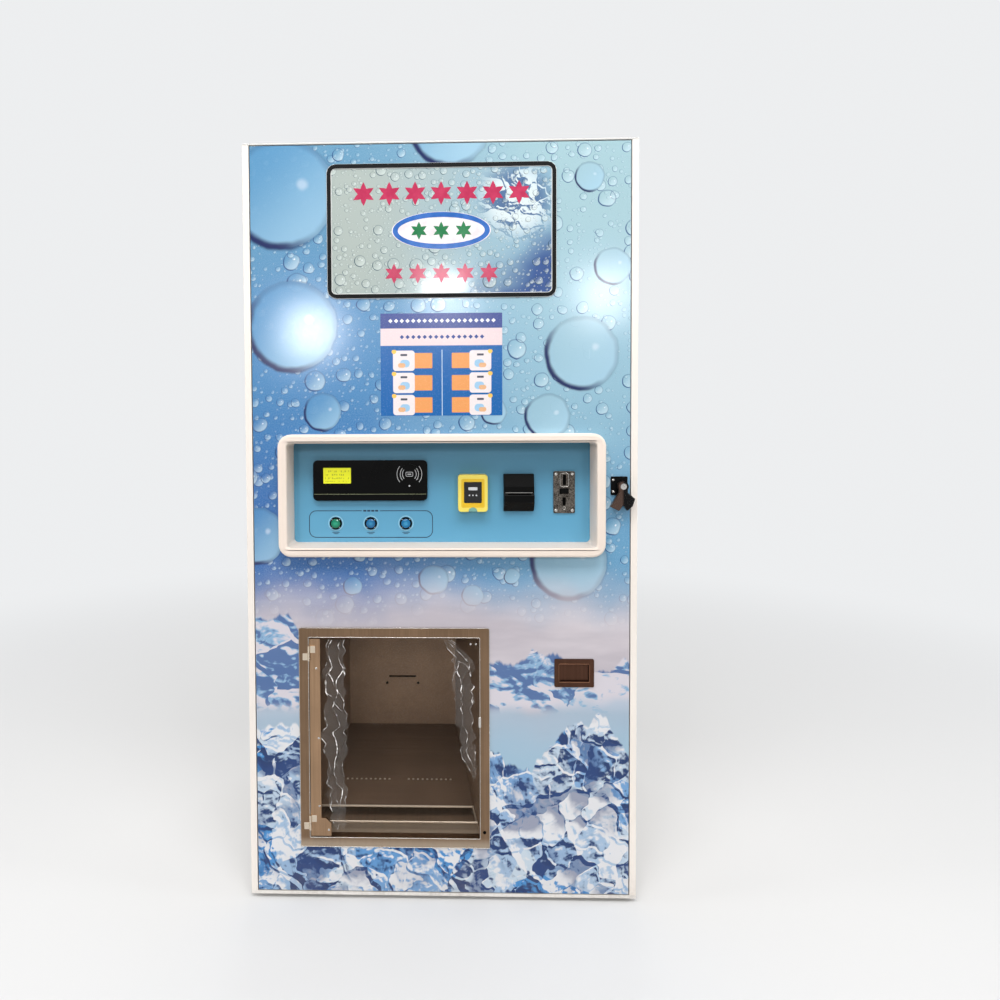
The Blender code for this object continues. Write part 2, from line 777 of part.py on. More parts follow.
def make_roof():
    roof = box(
        "top_panel",
        (-HALF_WIDTH, FRONT_Y, ROOF_BOTTOM),
        (HALF_WIDTH, REAR_Y, CABINET_HEIGHT),
        "white_paint",
    )
    round_edges(roof, EDGE_ROUND)
    header = cross_rail("header", ROOF_BOTTOM - CROSS_RAIL_HEIGHT, ROOF_BOTTOM + SEAT_GAP)
    fuse(roof, header)


def post_outline(side):
    """The step-shaped section of a front post: a lip beside the door, a leg behind it."""
    outer = side * HALF_WIDTH
    lip = side * (HALF_WIDTH - POST_WIDTH)
    leg = side * (HALF_WIDTH - POST_LEG_WIDTH)
    return [
        (outer, at(0)),
        (lip, at(0)),
        (lip, at(LEG_FRONT)),
        (leg, at(LEG_FRONT)),
        (leg, at(LEG_BACK)),
        (outer, at(LEG_BACK)),
    ]


def make_posts():
    """The left post is one length; the right one has the latch block between its two lengths."""
    low = BASE_TOP + SEAT_GAP
    high = ROOF_BOTTOM - SEAT_GAP
    pocket_low = LOCK_Z - CAM_LENGTH - CAM_CLEARANCE
    pocket_high = LOCK_Z + CAM_WIDTH / 2 + CAM_CLEARANCE
    block_low = pocket_low - LATCH_BLOCK_WALL
    block_high = pocket_high + LATCH_BLOCK_WALL
    outline = post_outline(1)
    plate("front_post_left", [post_outline(-1)], "xy", low, high, "white_paint")
    plate("front_post_right_lower", [outline], "xy", low, block_low - SEAT_GAP, "white_paint")
    plate("front_post_right_upper", [outline], "xy", block_high + SEAT_GAP, high, "white_paint")
    block = plate("latch_block", [outline], "xy", block_low, block_high, "white_paint")
    mouth = HALF_WIDTH - POST_WIDTH
    pocket = box(
        "pocket",
        (mouth - CUT_OVERRUN, at(CAM_DEPTH - CAM_CLEARANCE), pocket_low),
        (mouth + KEEPER_DEPTH, at(CAM_DEPTH + CAM_THICKNESS + CAM_CLEARANCE), pocket_high),
        "white_paint",
    )
    cut(block, pocket)


def louvre_grid(first, upper_z):
    """The (start, height) of each louvre: columns beside each other, rows going down."""
    for column in range(LOUVRE_COLUMNS):
        for row in range(LOUVRE_ROWS):
            yield first + column * (LOUVRE_LENGTH + LOUVRE_GAP), upper_z - row * LOUVRE_PITCH


def louvre_fin(face, inward, low):
    """A fin's section: it starts at the slot's lower edge and slopes up into the cabinet."""
    root = face - inward * SHEET / 2
    tip = face + inward * LOUVRE_REACH
    return [
        (root, low - LOUVRE_FIN),
        (root, low),
        (tip, low + LOUVRE_RISE),
        (tip, low + LOUVRE_RISE - LOUVRE_FIN),
    ]


def make_side_panel(name, side):
    low = BASE_TOP + SEAT_GAP
    high = ROOF_BOTTOM - SEAT_GAP
    front = at(LEG_BACK) + SEAT_GAP
    rear = REAR_Y - SHEET - SEAT_GAP
    first = REAR_Y - LOUVRE_REAR_GAP - LOUVRE_COLUMNS * LOUVRE_LENGTH - LOUVRE_GAP
    upper = low + LOUVRE_FLOOR_GAP + LOUVRE_ROWS * LOUVRE_PITCH
    outline = rectangle((front + rear) / 2, (low + high) / 2, rear - front, high - low)
    loops = [outline]
    fins = []
    face = side * (HALF_WIDTH - SHEET)
    for start, height in louvre_grid(first, upper):
        middle = start + LOUVRE_LENGTH / 2
        loops.append(rectangle(middle, height, LOUVRE_LENGTH, LOUVRE_OPEN))
        section = louvre_fin(face, -side, height - LOUVRE_OPEN / 2)
        fin_end = start + LOUVRE_LENGTH - LOUVRE_FIN
        fins.append(plate("fin", [section], "xz", start + LOUVRE_FIN, fin_end, "white_paint"))
    panel = plate(name, loops, "yz", face, side * HALF_WIDTH, "white_paint")
    fuse(panel, *fins)


def rear_cut_outs():
    """The outlines, in the rear panel, of the water manifold and of the power inlet."""
    return (
        (across(MANIFOLD_ACROSS_SHARE), up(MANIFOLD_UP_SHARE), MANIFOLD_WIDTH, MANIFOLD_HEIGHT),
        (across(INLET_ACROSS_SHARE), up(INLET_UP_SHARE), INLET_WIDTH, INLET_HEIGHT),
    )


def make_rear_panel():
    low = BASE_TOP + SEAT_GAP
    high = ROOF_BOTTOM - SEAT_GAP
    loops = [rectangle(0, (low + high) / 2, CABINET_WIDTH, high - low)]
    width = LOUVRE_COLUMNS * LOUVRE_LENGTH + (LOUVRE_COLUMNS - 1) * LOUVRE_GAP
    first = across(CONDENSER_ACROSS_SHARE) - width / 2
    upper = low + LOUVRE_FLOOR_GAP + LOUVRE_ROWS * LOUVRE_PITCH
    face = REAR_Y - SHEET
    fins = []
    for start, height in louvre_grid(first, upper):
        loops.append(rectangle(start + LOUVRE_LENGTH / 2, height, LOUVRE_LENGTH, LOUVRE_OPEN))
        section = louvre_fin(face, -1, height - LOUVRE_OPEN / 2)
        fin_end = start + LOUVRE_LENGTH - LOUVRE_FIN
        fins.append(plate("fin", [section], "yz", start + LOUVRE_FIN, fin_end, "white_paint"))
    grip = 2 * SEAT_GAP
    for x, z, wide, high_cut in rear_cut_outs():
        loops.append(rectangle(x, z, wide + grip, high_cut + grip))
    panel = plate("rear_panel", loops, "xz", face, REAR_Y, "white_paint")
    fuse(panel, *fins)


def make_door_pins():
    """A pin below and above the hinge side of the door, each with the collar it turns on."""
    x = DOOR_LEFT + DOOR_PIVOT_INSET
    y = at(DOOR_PIVOT_DEPTH)
    ends = (("door_hinge_pin_lower", BASE_TOP, 1), ("door_hinge_pin_upper", ROOF_BOTTOM, -1))
    for name, face, way in ends:
        start = face + way * SEAT_GAP
        collar = face + way * (DOOR_GAP - SEAT_GAP)
        tip = face + way * (DOOR_GAP + HINGE_PIN_LENGTH)
        profile = [
            (0, tip),
            (HINGE_PIN_RADIUS, tip),
            (HINGE_PIN_RADIUS, collar),
            (HINGE_COLLAR_RADIUS, collar),
            (HINGE_COLLAR_RADIUS, start),
            (0, start),
        ]
        if way < 0:
            profile.reverse()
        turned(name, profile, (x, y, 0), "z", "bright_steel", SMALL_ROUND_STEPS)


# Service door


def rail_places():
    """The undersides of the rails: one at each end, two that carry the controls, and two between."""
    bay_top = BAY_Z + BAY_HEIGHT / 2
    window_bottom = WINDOW_Z - WINDOW_HEIGHT / 2
    under_controls = CONTROL_Z - BEZEL_HEIGHT / 2 - CONTROL_RAIL_GAP - RAIL_HEIGHT
    over_controls = CONTROL_Z + BEZEL_HEIGHT / 2 + CONTROL_RAIL_GAP
    over_bay = bay_top + BAY_RAIL_SHARE * (under_controls - RAIL_HEIGHT - bay_top)
    free = window_bottom - RAIL_HEIGHT - over_controls - RAIL_HEIGHT
    under_window = over_controls + RAIL_HEIGHT + WINDOW_RAIL_SHARE * free
    return [DOOR_BOTTOM, over_bay, under_controls, over_controls, under_window, DOOR_TOP - RAIL_HEIGHT]


def make_door_frame():
    """A welded ladder of square tube, bored for the hinge pins and pocketed for the lock."""
    front = at(DOOR_FRAME_FRONT)
    back = at(DOOR_THICKNESS)
    left = DOOR_LEFT + STILE_WIDTH
    right = DOOR_RIGHT - LOCK_STILE_WIDTH
    lows = rail_places()
    loops = [
        rectangle(
            (DOOR_LEFT + DOOR_RIGHT) / 2,
            (DOOR_BOTTOM + DOOR_TOP) / 2,
            DOOR_RIGHT - DOOR_LEFT,
            DOOR_TOP - DOOR_BOTTOM,
        )
    ]
    for below, above in zip(lows, lows[1:]):
        low = below + RAIL_HEIGHT
        loops.append(rectangle((left + right) / 2, (low + above) / 2, right - left, above - low))
    frame = plate("door_frame", loops, "xz", front, back, "grey_paint")
    bore = HINGE_PIN_RADIUS + RUNNING_GAP
    pivot_x = DOOR_LEFT + DOOR_PIVOT_INSET
    cutters = []
    for z in (DOOR_BOTTOM, DOOR_TOP):
        place = (pivot_x, at(DOOR_PIVOT_DEPTH), z)
        length = 2 * (HINGE_PIN_LENGTH + RUNNING_GAP)
        cutters.append(cylinder("bore", place, bore, length, "z", "grey_paint", SMALL_ROUND_STEPS))
    cutters.append(
        box(
            "pocket",
            (
                LOCK_X - BARREL_RADIUS - CAM_CLEARANCE,
                front - CUT_OVERRUN,
                LOCK_Z - CAM_LENGTH - 2 * CAM_CLEARANCE,
            ),
            (
                DOOR_RIGHT + CUT_OVERRUN,
                at(CAM_DEPTH + CAM_THICKNESS + CAM_CLEARANCE),
                LOCK_Z + BARREL_RADIUS + CAM_CLEARANCE,
            ),
            "grey_paint",
        )
    )
    cut(frame, *cutters)


def make_door_skin():
    """The printed front sheet, with its cut-outs for window, controls, bay, return and lock."""
    grip = 2 * SEAT_GAP
    loops = [
        rectangle(
            (DOOR_LEFT + DOOR_RIGHT) / 2,
            (DOOR_BOTTOM + DOOR_TOP) / 2,
            DOOR_RIGHT - DOOR_LEFT,
            DOOR_TOP - DOOR_BOTTOM,
        ),
        rectangle(
            WINDOW_X,
            WINDOW_Z,
            WINDOW_WIDTH - GASKET_WIDTH + grip,
            WINDOW_HEIGHT - GASKET_WIDTH + grip,
            WINDOW_CORNER - GASKET_WIDTH / 2,
        ),
        rectangle(
            CONTROL_X,
            CONTROL_Z,
            RECESS_WIDTH + 2 * SHEET + grip,
            RECESS_HEIGHT + 2 * SHEET + grip,
            RECESS_CORNER + SHEET,
        ),
        rectangle(
            BAY_X,
            BAY_Z,
            BAY_OPEN_WIDTH + 2 * BAY_COLLAR_WALL + grip,
            BAY_OPEN_HEIGHT + 2 * BAY_COLLAR_WALL + grip,
        ),
        rectangle(
            RETURN_X,
            RETURN_Z,
            RETURN_OPEN_WIDTH + 2 * RETURN_WALL + grip,
            RETURN_OPEN_HEIGHT + 2 * RETURN_WALL + grip,
        ),
        circle(LOCK_X, LOCK_Z, BARREL_RADIUS + RUNNING_GAP),
    ]
    plate("door_skin", loops, "xz", at(0), at(DOOR_SKIN), "blue_wrap")


def make_door_seal():
    width = DOOR_RIGHT - DOOR_LEFT - 2 * SEAL_INSET
    height = DOOR_TOP - DOOR_BOTTOM - 2 * SEAL_INSET
    x = (DOOR_LEFT + DOOR_RIGHT) / 2
    z = (DOOR_BOTTOM + DOOR_TOP) / 2
    outer = rectangle(x, z, width, height)
    inner = rectangle(x, z, width - 2 * SEAL_WIDTH, height - 2 * SEAL_WIDTH)
    front = DOOR_THICKNESS + SEAT_GAP
    plate("door_gasket", [outer, inner], "xz", at(front), at(front + SEAL_THICKNESS), "black_rubber")


def make_window():
    """A rubber ring with a lip that grips the skin's edge, the print behind it and the tray."""
    inner_width = WINDOW_WIDTH - 2 * GASKET_WIDTH
    inner_height = WINDOW_HEIGHT - 2 * GASKET_WIDTH
    inner_corner = WINDOW_CORNER - GASKET_WIDTH
    hole = rectangle(WINDOW_X, WINDOW_Z, inner_width, inner_height, inner_corner)
    outer = rectangle(WINDOW_X, WINDOW_Z, WINDOW_WIDTH, WINDOW_HEIGHT, WINDOW_CORNER)
    ring = plate("window_gasket", [outer, hole], "xz", at(-GASKET_PROUD), at(GASKET_LIP), "black_rubber")
    step = GASKET_WIDTH / 2
    seat = rectangle(
        WINDOW_X, WINDOW_Z, WINDOW_WIDTH - 2 * step, WINDOW_HEIGHT - 2 * step, WINDOW_CORNER - step
    )
    around = rectangle(WINDOW_X, WINDOW_Z, WINDOW_WIDTH + GASKET_WIDTH, WINDOW_HEIGHT + GASKET_WIDTH)
    behind = plate(
        "behind", [around, seat], "xz", at(-SEAT_GAP), at(GASKET_LIP + CUT_OVERRUN), "black_rubber"
    )
    cut(ring, behind)
    panel = rectangle(
        WINDOW_X,
        WINDOW_Z,
        inner_width - 2 * SEAT_GAP,
        inner_height - 2 * SEAT_GAP,
        inner_corner - SEAT_GAP,
    )
    plate("window_panel", [panel], "xz", at(0), at(WINDOW_PANEL), "window_print")
    front = DOOR_SKIN + SEAT_GAP
    tray = centred_box(
        "lightbox_tray",
        (WINDOW_X, at(front + LIGHTBOX_DEPTH / 2), WINDOW_Z),
        (WINDOW_WIDTH + LIGHTBOX_MARGIN, LIGHTBOX_DEPTH, WINDOW_HEIGHT + LIGHTBOX_MARGIN),
        "white_paint",
    )
    hollow = centred_box(
        "hollow",
        (WINDOW_X, at(front + LIGHTBOX_DEPTH / 2 - SHEET), WINDOW_Z),
        (
            WINDOW_WIDTH + LIGHTBOX_MARGIN - 2 * SHEET,
            LIGHTBOX_DEPTH,
            WINDOW_HEIGHT + LIGHTBOX_MARGIN - 2 * SHEET,
        ),
        "white_paint",
    )
    cut(tray, hollow)


def make_control_surround():
    """The thick moulded surround, and the tray behind it that the fascia closes."""
    outer = rectangle(CONTROL_X, CONTROL_Z, BEZEL_WIDTH, BEZEL_HEIGHT, BEZEL_CORNER, 2 * CORNER_STEPS)
    inner = rectangle(CONTROL_X, CONTROL_Z, RECESS_WIDTH, RECESS_HEIGHT, RECESS_CORNER)
    bezel = plate("control_bezel", [outer, inner], "xz", at(-BEZEL_PROUD), at(-SEAT_GAP), "cream_plastic")
    shape = bmesh.new()
    shape.from_mesh(bezel.data)
    front = at(-BEZEL_PROUD)
    rims = [
        edge
        for edge in shape.edges
        if not any(abs(vert.co.y - front) > SEAT_GAP for vert in edge.verts)
        and edge.calc_face_angle(0) > 1
    ]
    bmesh.ops.bevel(
        shape, geom=rims, offset=BEZEL_ROUND, segments=BEVEL_STEPS, profile=0.5, affect="EDGES"
    )
    shape.to_mesh(bezel.data)
    shape.free()
    smooth(bezel)
    tray_outer = rectangle(
        CONTROL_X, CONTROL_Z, RECESS_WIDTH + 2 * SHEET, RECESS_HEIGHT + 2 * SHEET, RECESS_CORNER + SHEET
    )
    tray_inner = rectangle(CONTROL_X, CONTROL_Z, RECESS_WIDTH, RECESS_HEIGHT, RECESS_CORNER)
    plate(
        "control_tray",
        [tray_outer, tray_inner],
        "xz",
        at(0),
        at(FASCIA_BACK + FASCIA_BACK_MARGIN),
        "cream_plastic",
    )


def recess_x(share):
    """X at a share of the recess width, counted from its left wall."""
    return CONTROL_X - RECESS_WIDTH / 2 + share * RECESS_WIDTH


def recess_z(share):
    """Z at a share of the recess height, counted from its lower wall."""
    return CONTROL_Z - RECESS_HEIGHT / 2 + share * RECESS_HEIGHT


def button_places():
    middle = recess_x(READER_ACROSS_SHARE)
    return [(middle + step * BUTTON_SPACING, recess_z(BUTTONS_UP_SHARE)) for step in (-1, 0, 1)]


def make_fascia():
    """The back plate of the recess, cut out for the buttons and the coin unit."""
    loops = [
        rectangle(
            CONTROL_X,
            CONTROL_Z,
            RECESS_WIDTH - 2 * SEAT_GAP,
            RECESS_HEIGHT - 2 * SEAT_GAP,
            RECESS_CORNER - SEAT_GAP,
        )
    ]
    for x, z in button_places():
        loops.append(circle(x, z, BUTTON_RING_RADIUS + SEAT_GAP))
    loops.append(
        rectangle(
            recess_x(COIN_ACROSS_SHARE),
            recess_z(PAYMENT_UP_SHARE),
            COIN_WIDTH - 2 * COIN_CUTOUT_MARGIN,
            COIN_HEIGHT - 2 * COIN_CUTOUT_MARGIN,
        )
    )
    back = CONTROL_DEPTH + FASCIA_THICKNESS
    plate("control_fascia", loops, "xz", at(CONTROL_DEPTH), at(back), "fascia_blue")


def make_reader():
    """A low black housing with a lip along its foot, a display window and a round card pad."""
    x = recess_x(READER_ACROSS_SHARE)
    z = recess_z(READER_UP_SHARE)
    back = at(CONTROL_DEPTH - SEAT_GAP)
    front = back - READER_THICKNESS
    outline = rectangle(x, z, READER_WIDTH, READER_HEIGHT, READER_CORNER)
    reader = plate("reader_housing", [outline], "xz", front, back, "black_plastic")
    lip_z = z - READER_HEIGHT / 2 + READER_LIP_HEIGHT / 2
    lip_outline = rectangle(
        x, lip_z, READER_WIDTH - READER_CORNER, READER_LIP_HEIGHT - 2 * SEAT_GAP, READER_LIP_HEIGHT / 3
    )
    lip = plate(
        "lip", [lip_outline], "xz", front - READER_LIP_PROUD, back - READER_LIP_PROUD, "black_plastic"
    )
    pad = plate(
        "pad",
        [circle(x + PAD_ACROSS, z + PAD_RISE, PAD_RADIUS)],
        "xz",
        front - PAD_PROUD,
        back - PAD_PROUD,
        "black_plastic",
    )
    fuse(reader, lip, pad)
    display_x = x - DISPLAY_RIGHT
    display_z = z + DISPLAY_RISE
    pocket = centred_box(
        "pocket",
        (display_x, front, display_z),
        (DISPLAY_WIDTH, 2 * DISPLAY_DEPTH, DISPLAY_HEIGHT),
        "black_plastic",
    )
    cut(reader, pocket)
    fit = 2 * SEAT_GAP
    centred_box(
        "display_lens",
        (display_x, front + DISPLAY_DEPTH / 2, display_z),
        (DISPLAY_WIDTH - fit, DISPLAY_DEPTH - fit, DISPLAY_HEIGHT - fit),
        "display_yellow",
    )


def make_buttons():
    """A block behind the fascia has a barrel for each button; a domed cap slides in each."""
    face = at(CONTROL_DEPTH - SEAT_GAP)
    block_front = at(FASCIA_BACK)
    block_back = block_front + BUTTON_BLOCK_DEPTH
    places = button_places()
    middle_x, middle_z = places[1]
    outline = rectangle(middle_x, middle_z, BUTTON_BLOCK_WIDTH, BUTTON_BLOCK_HEIGHT, BUTTON_RING_PROUD)
    block = plate("button_block", [outline], "xz", block_front, block_back, "black_plastic")
    barrels = []
    bores = []
    names = ("button_left", "button_middle", "button_right")
    colours = ("green_lens", "blue_lens", "blue_lens")
    for name, colour, (x, z) in zip(names, colours, places):
        root = face - block_front - BUTTON_BLOCK_DEPTH / 2
        profile = (
            (0, BUTTON_RING_PROUD),
            (BUTTON_RING_RADIUS - RUNNING_GAP, BUTTON_RING_PROUD),
            (BUTTON_RING_RADIUS, BUTTON_RING_PROUD * 2 / 3),
            (BUTTON_RING_RADIUS, root),
            (0, root),
        )
        barrels.append(turned("barrel", profile, (x, face, z), "-y", "black_plastic"))
        bore = BUTTON_CAP_RADIUS + RUNNING_GAP
        length = 2 * (block_back - face + CUT_OVERRUN)
        bores.append(cylinder("bore", (x, face, z), bore, length, "-y", "black_plastic"))
        top = BUTTON_RING_PROUD + BUTTON_CAP_PROUD
        dome = (
            (0, top),
            (BUTTON_CAP_RADIUS * 2 / 3, top - BUTTON_CAP_PROUD / 6),
            (BUTTON_CAP_RADIUS, top - BUTTON_CAP_PROUD / 2),
            (BUTTON_CAP_RADIUS, top - BUTTON_CAP_LENGTH),
            (0, top - BUTTON_CAP_LENGTH),
        )
        turned(name, dome, (0, 0, 0), "-y", colour).location = (x, face, z)
    fuse(block, *barrels)
    cut(block, *bores)
    smooth(block)


def make_terminal():
    """A thick yellow card reader with a sunk face and an arched card slot in its foot."""
    x = recess_x(TERMINAL_ACROSS_SHARE)
    z = recess_z(PAYMENT_UP_SHARE)
    back = at(CONTROL_DEPTH - SEAT_GAP)
    front = back - TERMINAL_THICKNESS
    outline = rectangle(x, z, TERMINAL_WIDTH, TERMINAL_HEIGHT, TERMINAL_CORNER)
    terminal = plate("card_terminal", [outline], "xz", front, back, "yellow_plastic")
    round_edges(terminal, TERMINAL_ROUND)
    face = centred_box(
        "face",
        (x, front, z),
        (TERMINAL_FACE_WIDTH, 2 * TERMINAL_FACE_DEPTH, TERMINAL_FACE_HEIGHT),
        "yellow_plastic",
    )
    arch = cylinder(
        "arch",
        (x, front, z - TERMINAL_HEIGHT / 2),
        TERMINAL_SLOT_RADIUS,
        2 * TERMINAL_SLOT_DEPTH,
        "-y",
        "yellow_plastic",
    )
    cut(terminal, face, arch)
    smooth(terminal)


def make_bill_acceptor():
    """A black bill mouth: a hood over the slot and a sloping chin below it."""
    x = recess_x(BILL_ACROSS_SHARE)
    z = recess_z(PAYMENT_UP_SHARE)
    back = at(CONTROL_DEPTH - SEAT_GAP)
    slot = z - BILL_SLOT_OPEN / 2
    half = BILL_HEIGHT / 2
    profile = [
        (back, z + half),
        (back - BILL_HOOD_TOP, z + half),
        (back - BILL_HOOD, z + half / 3),
        (back - BILL_HOOD, slot),
        (back - BILL_CHIN, slot - BILL_SLOT_OPEN),
        (back - BILL_CHIN, z - BILL_CHIN_DROP),
        (back - BILL_FOOT, z - half),
        (back, z - half),
    ]
    left = x - BILL_WIDTH / 2
    acceptor = plate("bill_acceptor", [profile], "yz", left, left + BILL_WIDTH, "black_plastic")
    round_edges(acceptor, EDGE_ROUND, 1)
    mouth = centred_box(
        "mouth",
        (x, back - BILL_HOOD, slot - BILL_SLOT_OPEN / 2),
        (BILL_SLOT_WIDTH, 2 * BILL_SLOT_DEPTH, BILL_SLOT_OPEN),
        "black_plastic",
    )
    cut(acceptor, mouth)
    centred_box(
        "bill_stacker",
        (x, at(FASCIA_BACK + STACKER_DEPTH / 2), z),
        (STACKER_WIDTH, STACKER_DEPTH, STACKER_HEIGHT),
        "grey_paint",
    )


def make_coin_unit():
    """Steel plate with a raised coin slot, a reject key and a refund slot; coin path behind."""
    x = recess_x(COIN_ACROSS_SHARE)
    z = recess_z(PAYMENT_UP_SHARE)
    back = at(CONTROL_DEPTH - SEAT_GAP)
    front = back - COIN_PLATE
    outline = rectangle(x, z, COIN_WIDTH, COIN_HEIGHT, COIN_CORNER)
    key_z = z + REJECT_RISE
    key_gap = 2 * REJECT_CLEARANCE
    key_hole = rectangle(x, key_z, REJECT_WIDTH + key_gap, REJECT_HEIGHT + key_gap)
    acceptor = plate("coin_acceptor", [outline, key_hole], "xz", front, back, "bright_steel")
    boss_z = z + COIN_BOSS_RISE
    boss_outline = rectangle(x, boss_z, COIN_BOSS_WIDTH, COIN_BOSS_HEIGHT - COIN_PLATE, COIN_CORNER)
    boss_front = front - COIN_BOSS_PROUD
    boss = plate("boss", [boss_outline], "xz", boss_front, back - COIN_PLATE / 2, "bright_steel")
    fuse(acceptor, boss)
    slot = centred_box(
        "slot",
        (x, front, boss_z),
        (COIN_SLOT_WIDTH, 2 * (COIN_BOSS_PROUD + COIN_PLATE), COIN_SLOT_HEIGHT),
        "bright_steel",
    )
    refund = centred_box(
        "refund",
        (x, front, z - REFUND_DROP),
        (REFUND_WIDTH, 2 * REFUND_DEPTH, REFUND_HEIGHT),
        "bright_steel",
    )
    cut(acceptor, slot, refund)
    key = centred_box(
        "coin_reject_button",
        (x, front + (COIN_PLATE - REJECT_PROUD) / 2, key_z),
        (REJECT_WIDTH, COIN_PLATE + REJECT_PROUD, REJECT_HEIGHT),
        "black_plastic",
    )
    round_edges(key, EDGE_ROUND, 1)
    turn_about(key, (x, front, key_z))
    mech_bottom = z - MECH_HEIGHT / 2
    mech = centred_box(
        "coin_mech",
        (x, at(FASCIA_BACK + MECH_DEPTH / 2), z),
        (MECH_WIDTH, MECH_DEPTH, MECH_HEIGHT),
        "grey_paint",
    )
    pipe_depth = DOOR_THICKNESS + CHUTE_PIPE_RADIUS + 2 * SEAT_GAP
    drop_depth = FASCIA_BACK + MECH_DEPTH / 2
    cup_top = RETURN_Z + RETURN_OPEN_HEIGHT / 2 + RETURN_WALL + SEAT_GAP
    run = mech_bottom - cup_top
    points = (
        (x, at(drop_depth), mech_bottom + CHUTE_PIPE_RADIUS),
        (x, at(drop_depth), mech_bottom - run / 8),
        (RETURN_X, at(pipe_depth), cup_top + run / 4),
        (RETURN_X, at(pipe_depth), cup_top),
    )
    fuse(mech, pipe("coin_pipe", points, CHUTE_PIPE_RADIUS, "grey_paint"))
    rails = rail_places()
    box_low = rails[1]
    box_high = rails[2] + RAIL_HEIGHT
    cash_x = x - CASH_BOX_SHIFT
    cash = box(
        "cash_box",
        (cash_x - CASH_BOX_WIDTH / 2, at(DOOR_THICKNESS + SEAT_GAP), box_low),
        (cash_x + CASH_BOX_WIDTH / 2, at(DOOR_THICKNESS + CASH_BOX_DEPTH), box_high),
        "grey_paint",
    )
    round_edges(cash, TERMINAL_ROUND, 1)


def make_coin_return():
    """A steel cup with a front plate; its flap hangs on two pins in the cup's side walls."""
    plate_front = at(-RETURN_PLATE - SEAT_GAP)
    outline = rectangle(RETURN_X, RETURN_Z, RETURN_WIDTH, RETURN_HEIGHT, RETURN_CORNER)
    cup = plate("coin_return", [outline], "xz", plate_front, at(-SEAT_GAP), "stainless")
    body = box(
        "body",
        (
            RETURN_X - RETURN_OPEN_WIDTH / 2 - RETURN_WALL,
            at(-RETURN_PLATE / 2),
            RETURN_Z - RETURN_OPEN_HEIGHT / 2 - RETURN_WALL,
        ),
        (
            RETURN_X + RETURN_OPEN_WIDTH / 2 + RETURN_WALL,
            at(RETURN_DEPTH),
            RETURN_Z + RETURN_OPEN_HEIGHT / 2 + RETURN_WALL,
        ),
        "stainless",
    )
    fuse(cup, body)
    cup_x = RETURN_OPEN_WIDTH / 2
    cup_z = RETURN_OPEN_HEIGHT / 2
    hollow = box(
        "hollow",
        (RETURN_X - cup_x, plate_front - CUT_OVERRUN, RETURN_Z - cup_z),
        (RETURN_X + cup_x, at(RETURN_DEPTH - RETURN_WALL), RETURN_Z + cup_z),
        "stainless",
    )
    pivot = (RETURN_X, at(FLAP_DEPTH), RETURN_Z + RETURN_OPEN_HEIGHT / 2 - FLAP_PIN_DROP)
    pin_bore = cylinder(
        "pin_bore",
        pivot,
        FLAP_PIN_RADIUS + SEAT_GAP,
        RETURN_OPEN_WIDTH + 4 * RETURN_WALL,
        "x",
        "stainless",
        SMALL_ROUND_STEPS,
    )
    cut(cup, hollow, pin_bore)
    flap_height = RETURN_OPEN_HEIGHT - FLAP_PIN_DROP - FLAP_SIDE_GAP
    flap = box(
        "coin_flap",
        (
            RETURN_X - RETURN_OPEN_WIDTH / 2 + FLAP_SIDE_GAP,
            pivot[1] - FLAP_THICKNESS / 2,
            pivot[2] - flap_height,
        ),
        (RETURN_X + RETURN_OPEN_WIDTH / 2 - FLAP_SIDE_GAP, pivot[1] + FLAP_THICKNESS / 2, pivot[2]),
        "stainless",
    )
    pin_length = RETURN_OPEN_WIDTH + 2 * RETURN_WALL
    pin = cylinder("pin", pivot, FLAP_PIN_RADIUS, pin_length, "x", "stainless", SMALL_ROUND_STEPS)
    fuse(flap, pin)
    turn_about(flap, pivot)


def handle_outline():
    """Seen from the front: a stem under the hub that opens into a long and a short wing."""
    left = HANDLE_LEFT_REACH
    right = HANDLE_RIGHT_REACH
    drop = HANDLE_DROP
    hub = HANDLE_HUB_RADIUS
    points = [
        (-hub, 0),
        (-hub, -drop / 4),
        (-left, -drop * 5 / 6),
        (-left / 3, -drop),
        (0, -drop * 3 / 4),
        (right / 3, -drop),
        (right * 4 / 5, -drop * 4 / 5),
        (right, -drop / 2),
        (hub, -drop / 4),
        (hub, 0),
    ]
    return [(LOCK_X + x, LOCK_Z + z) for x, z in points]


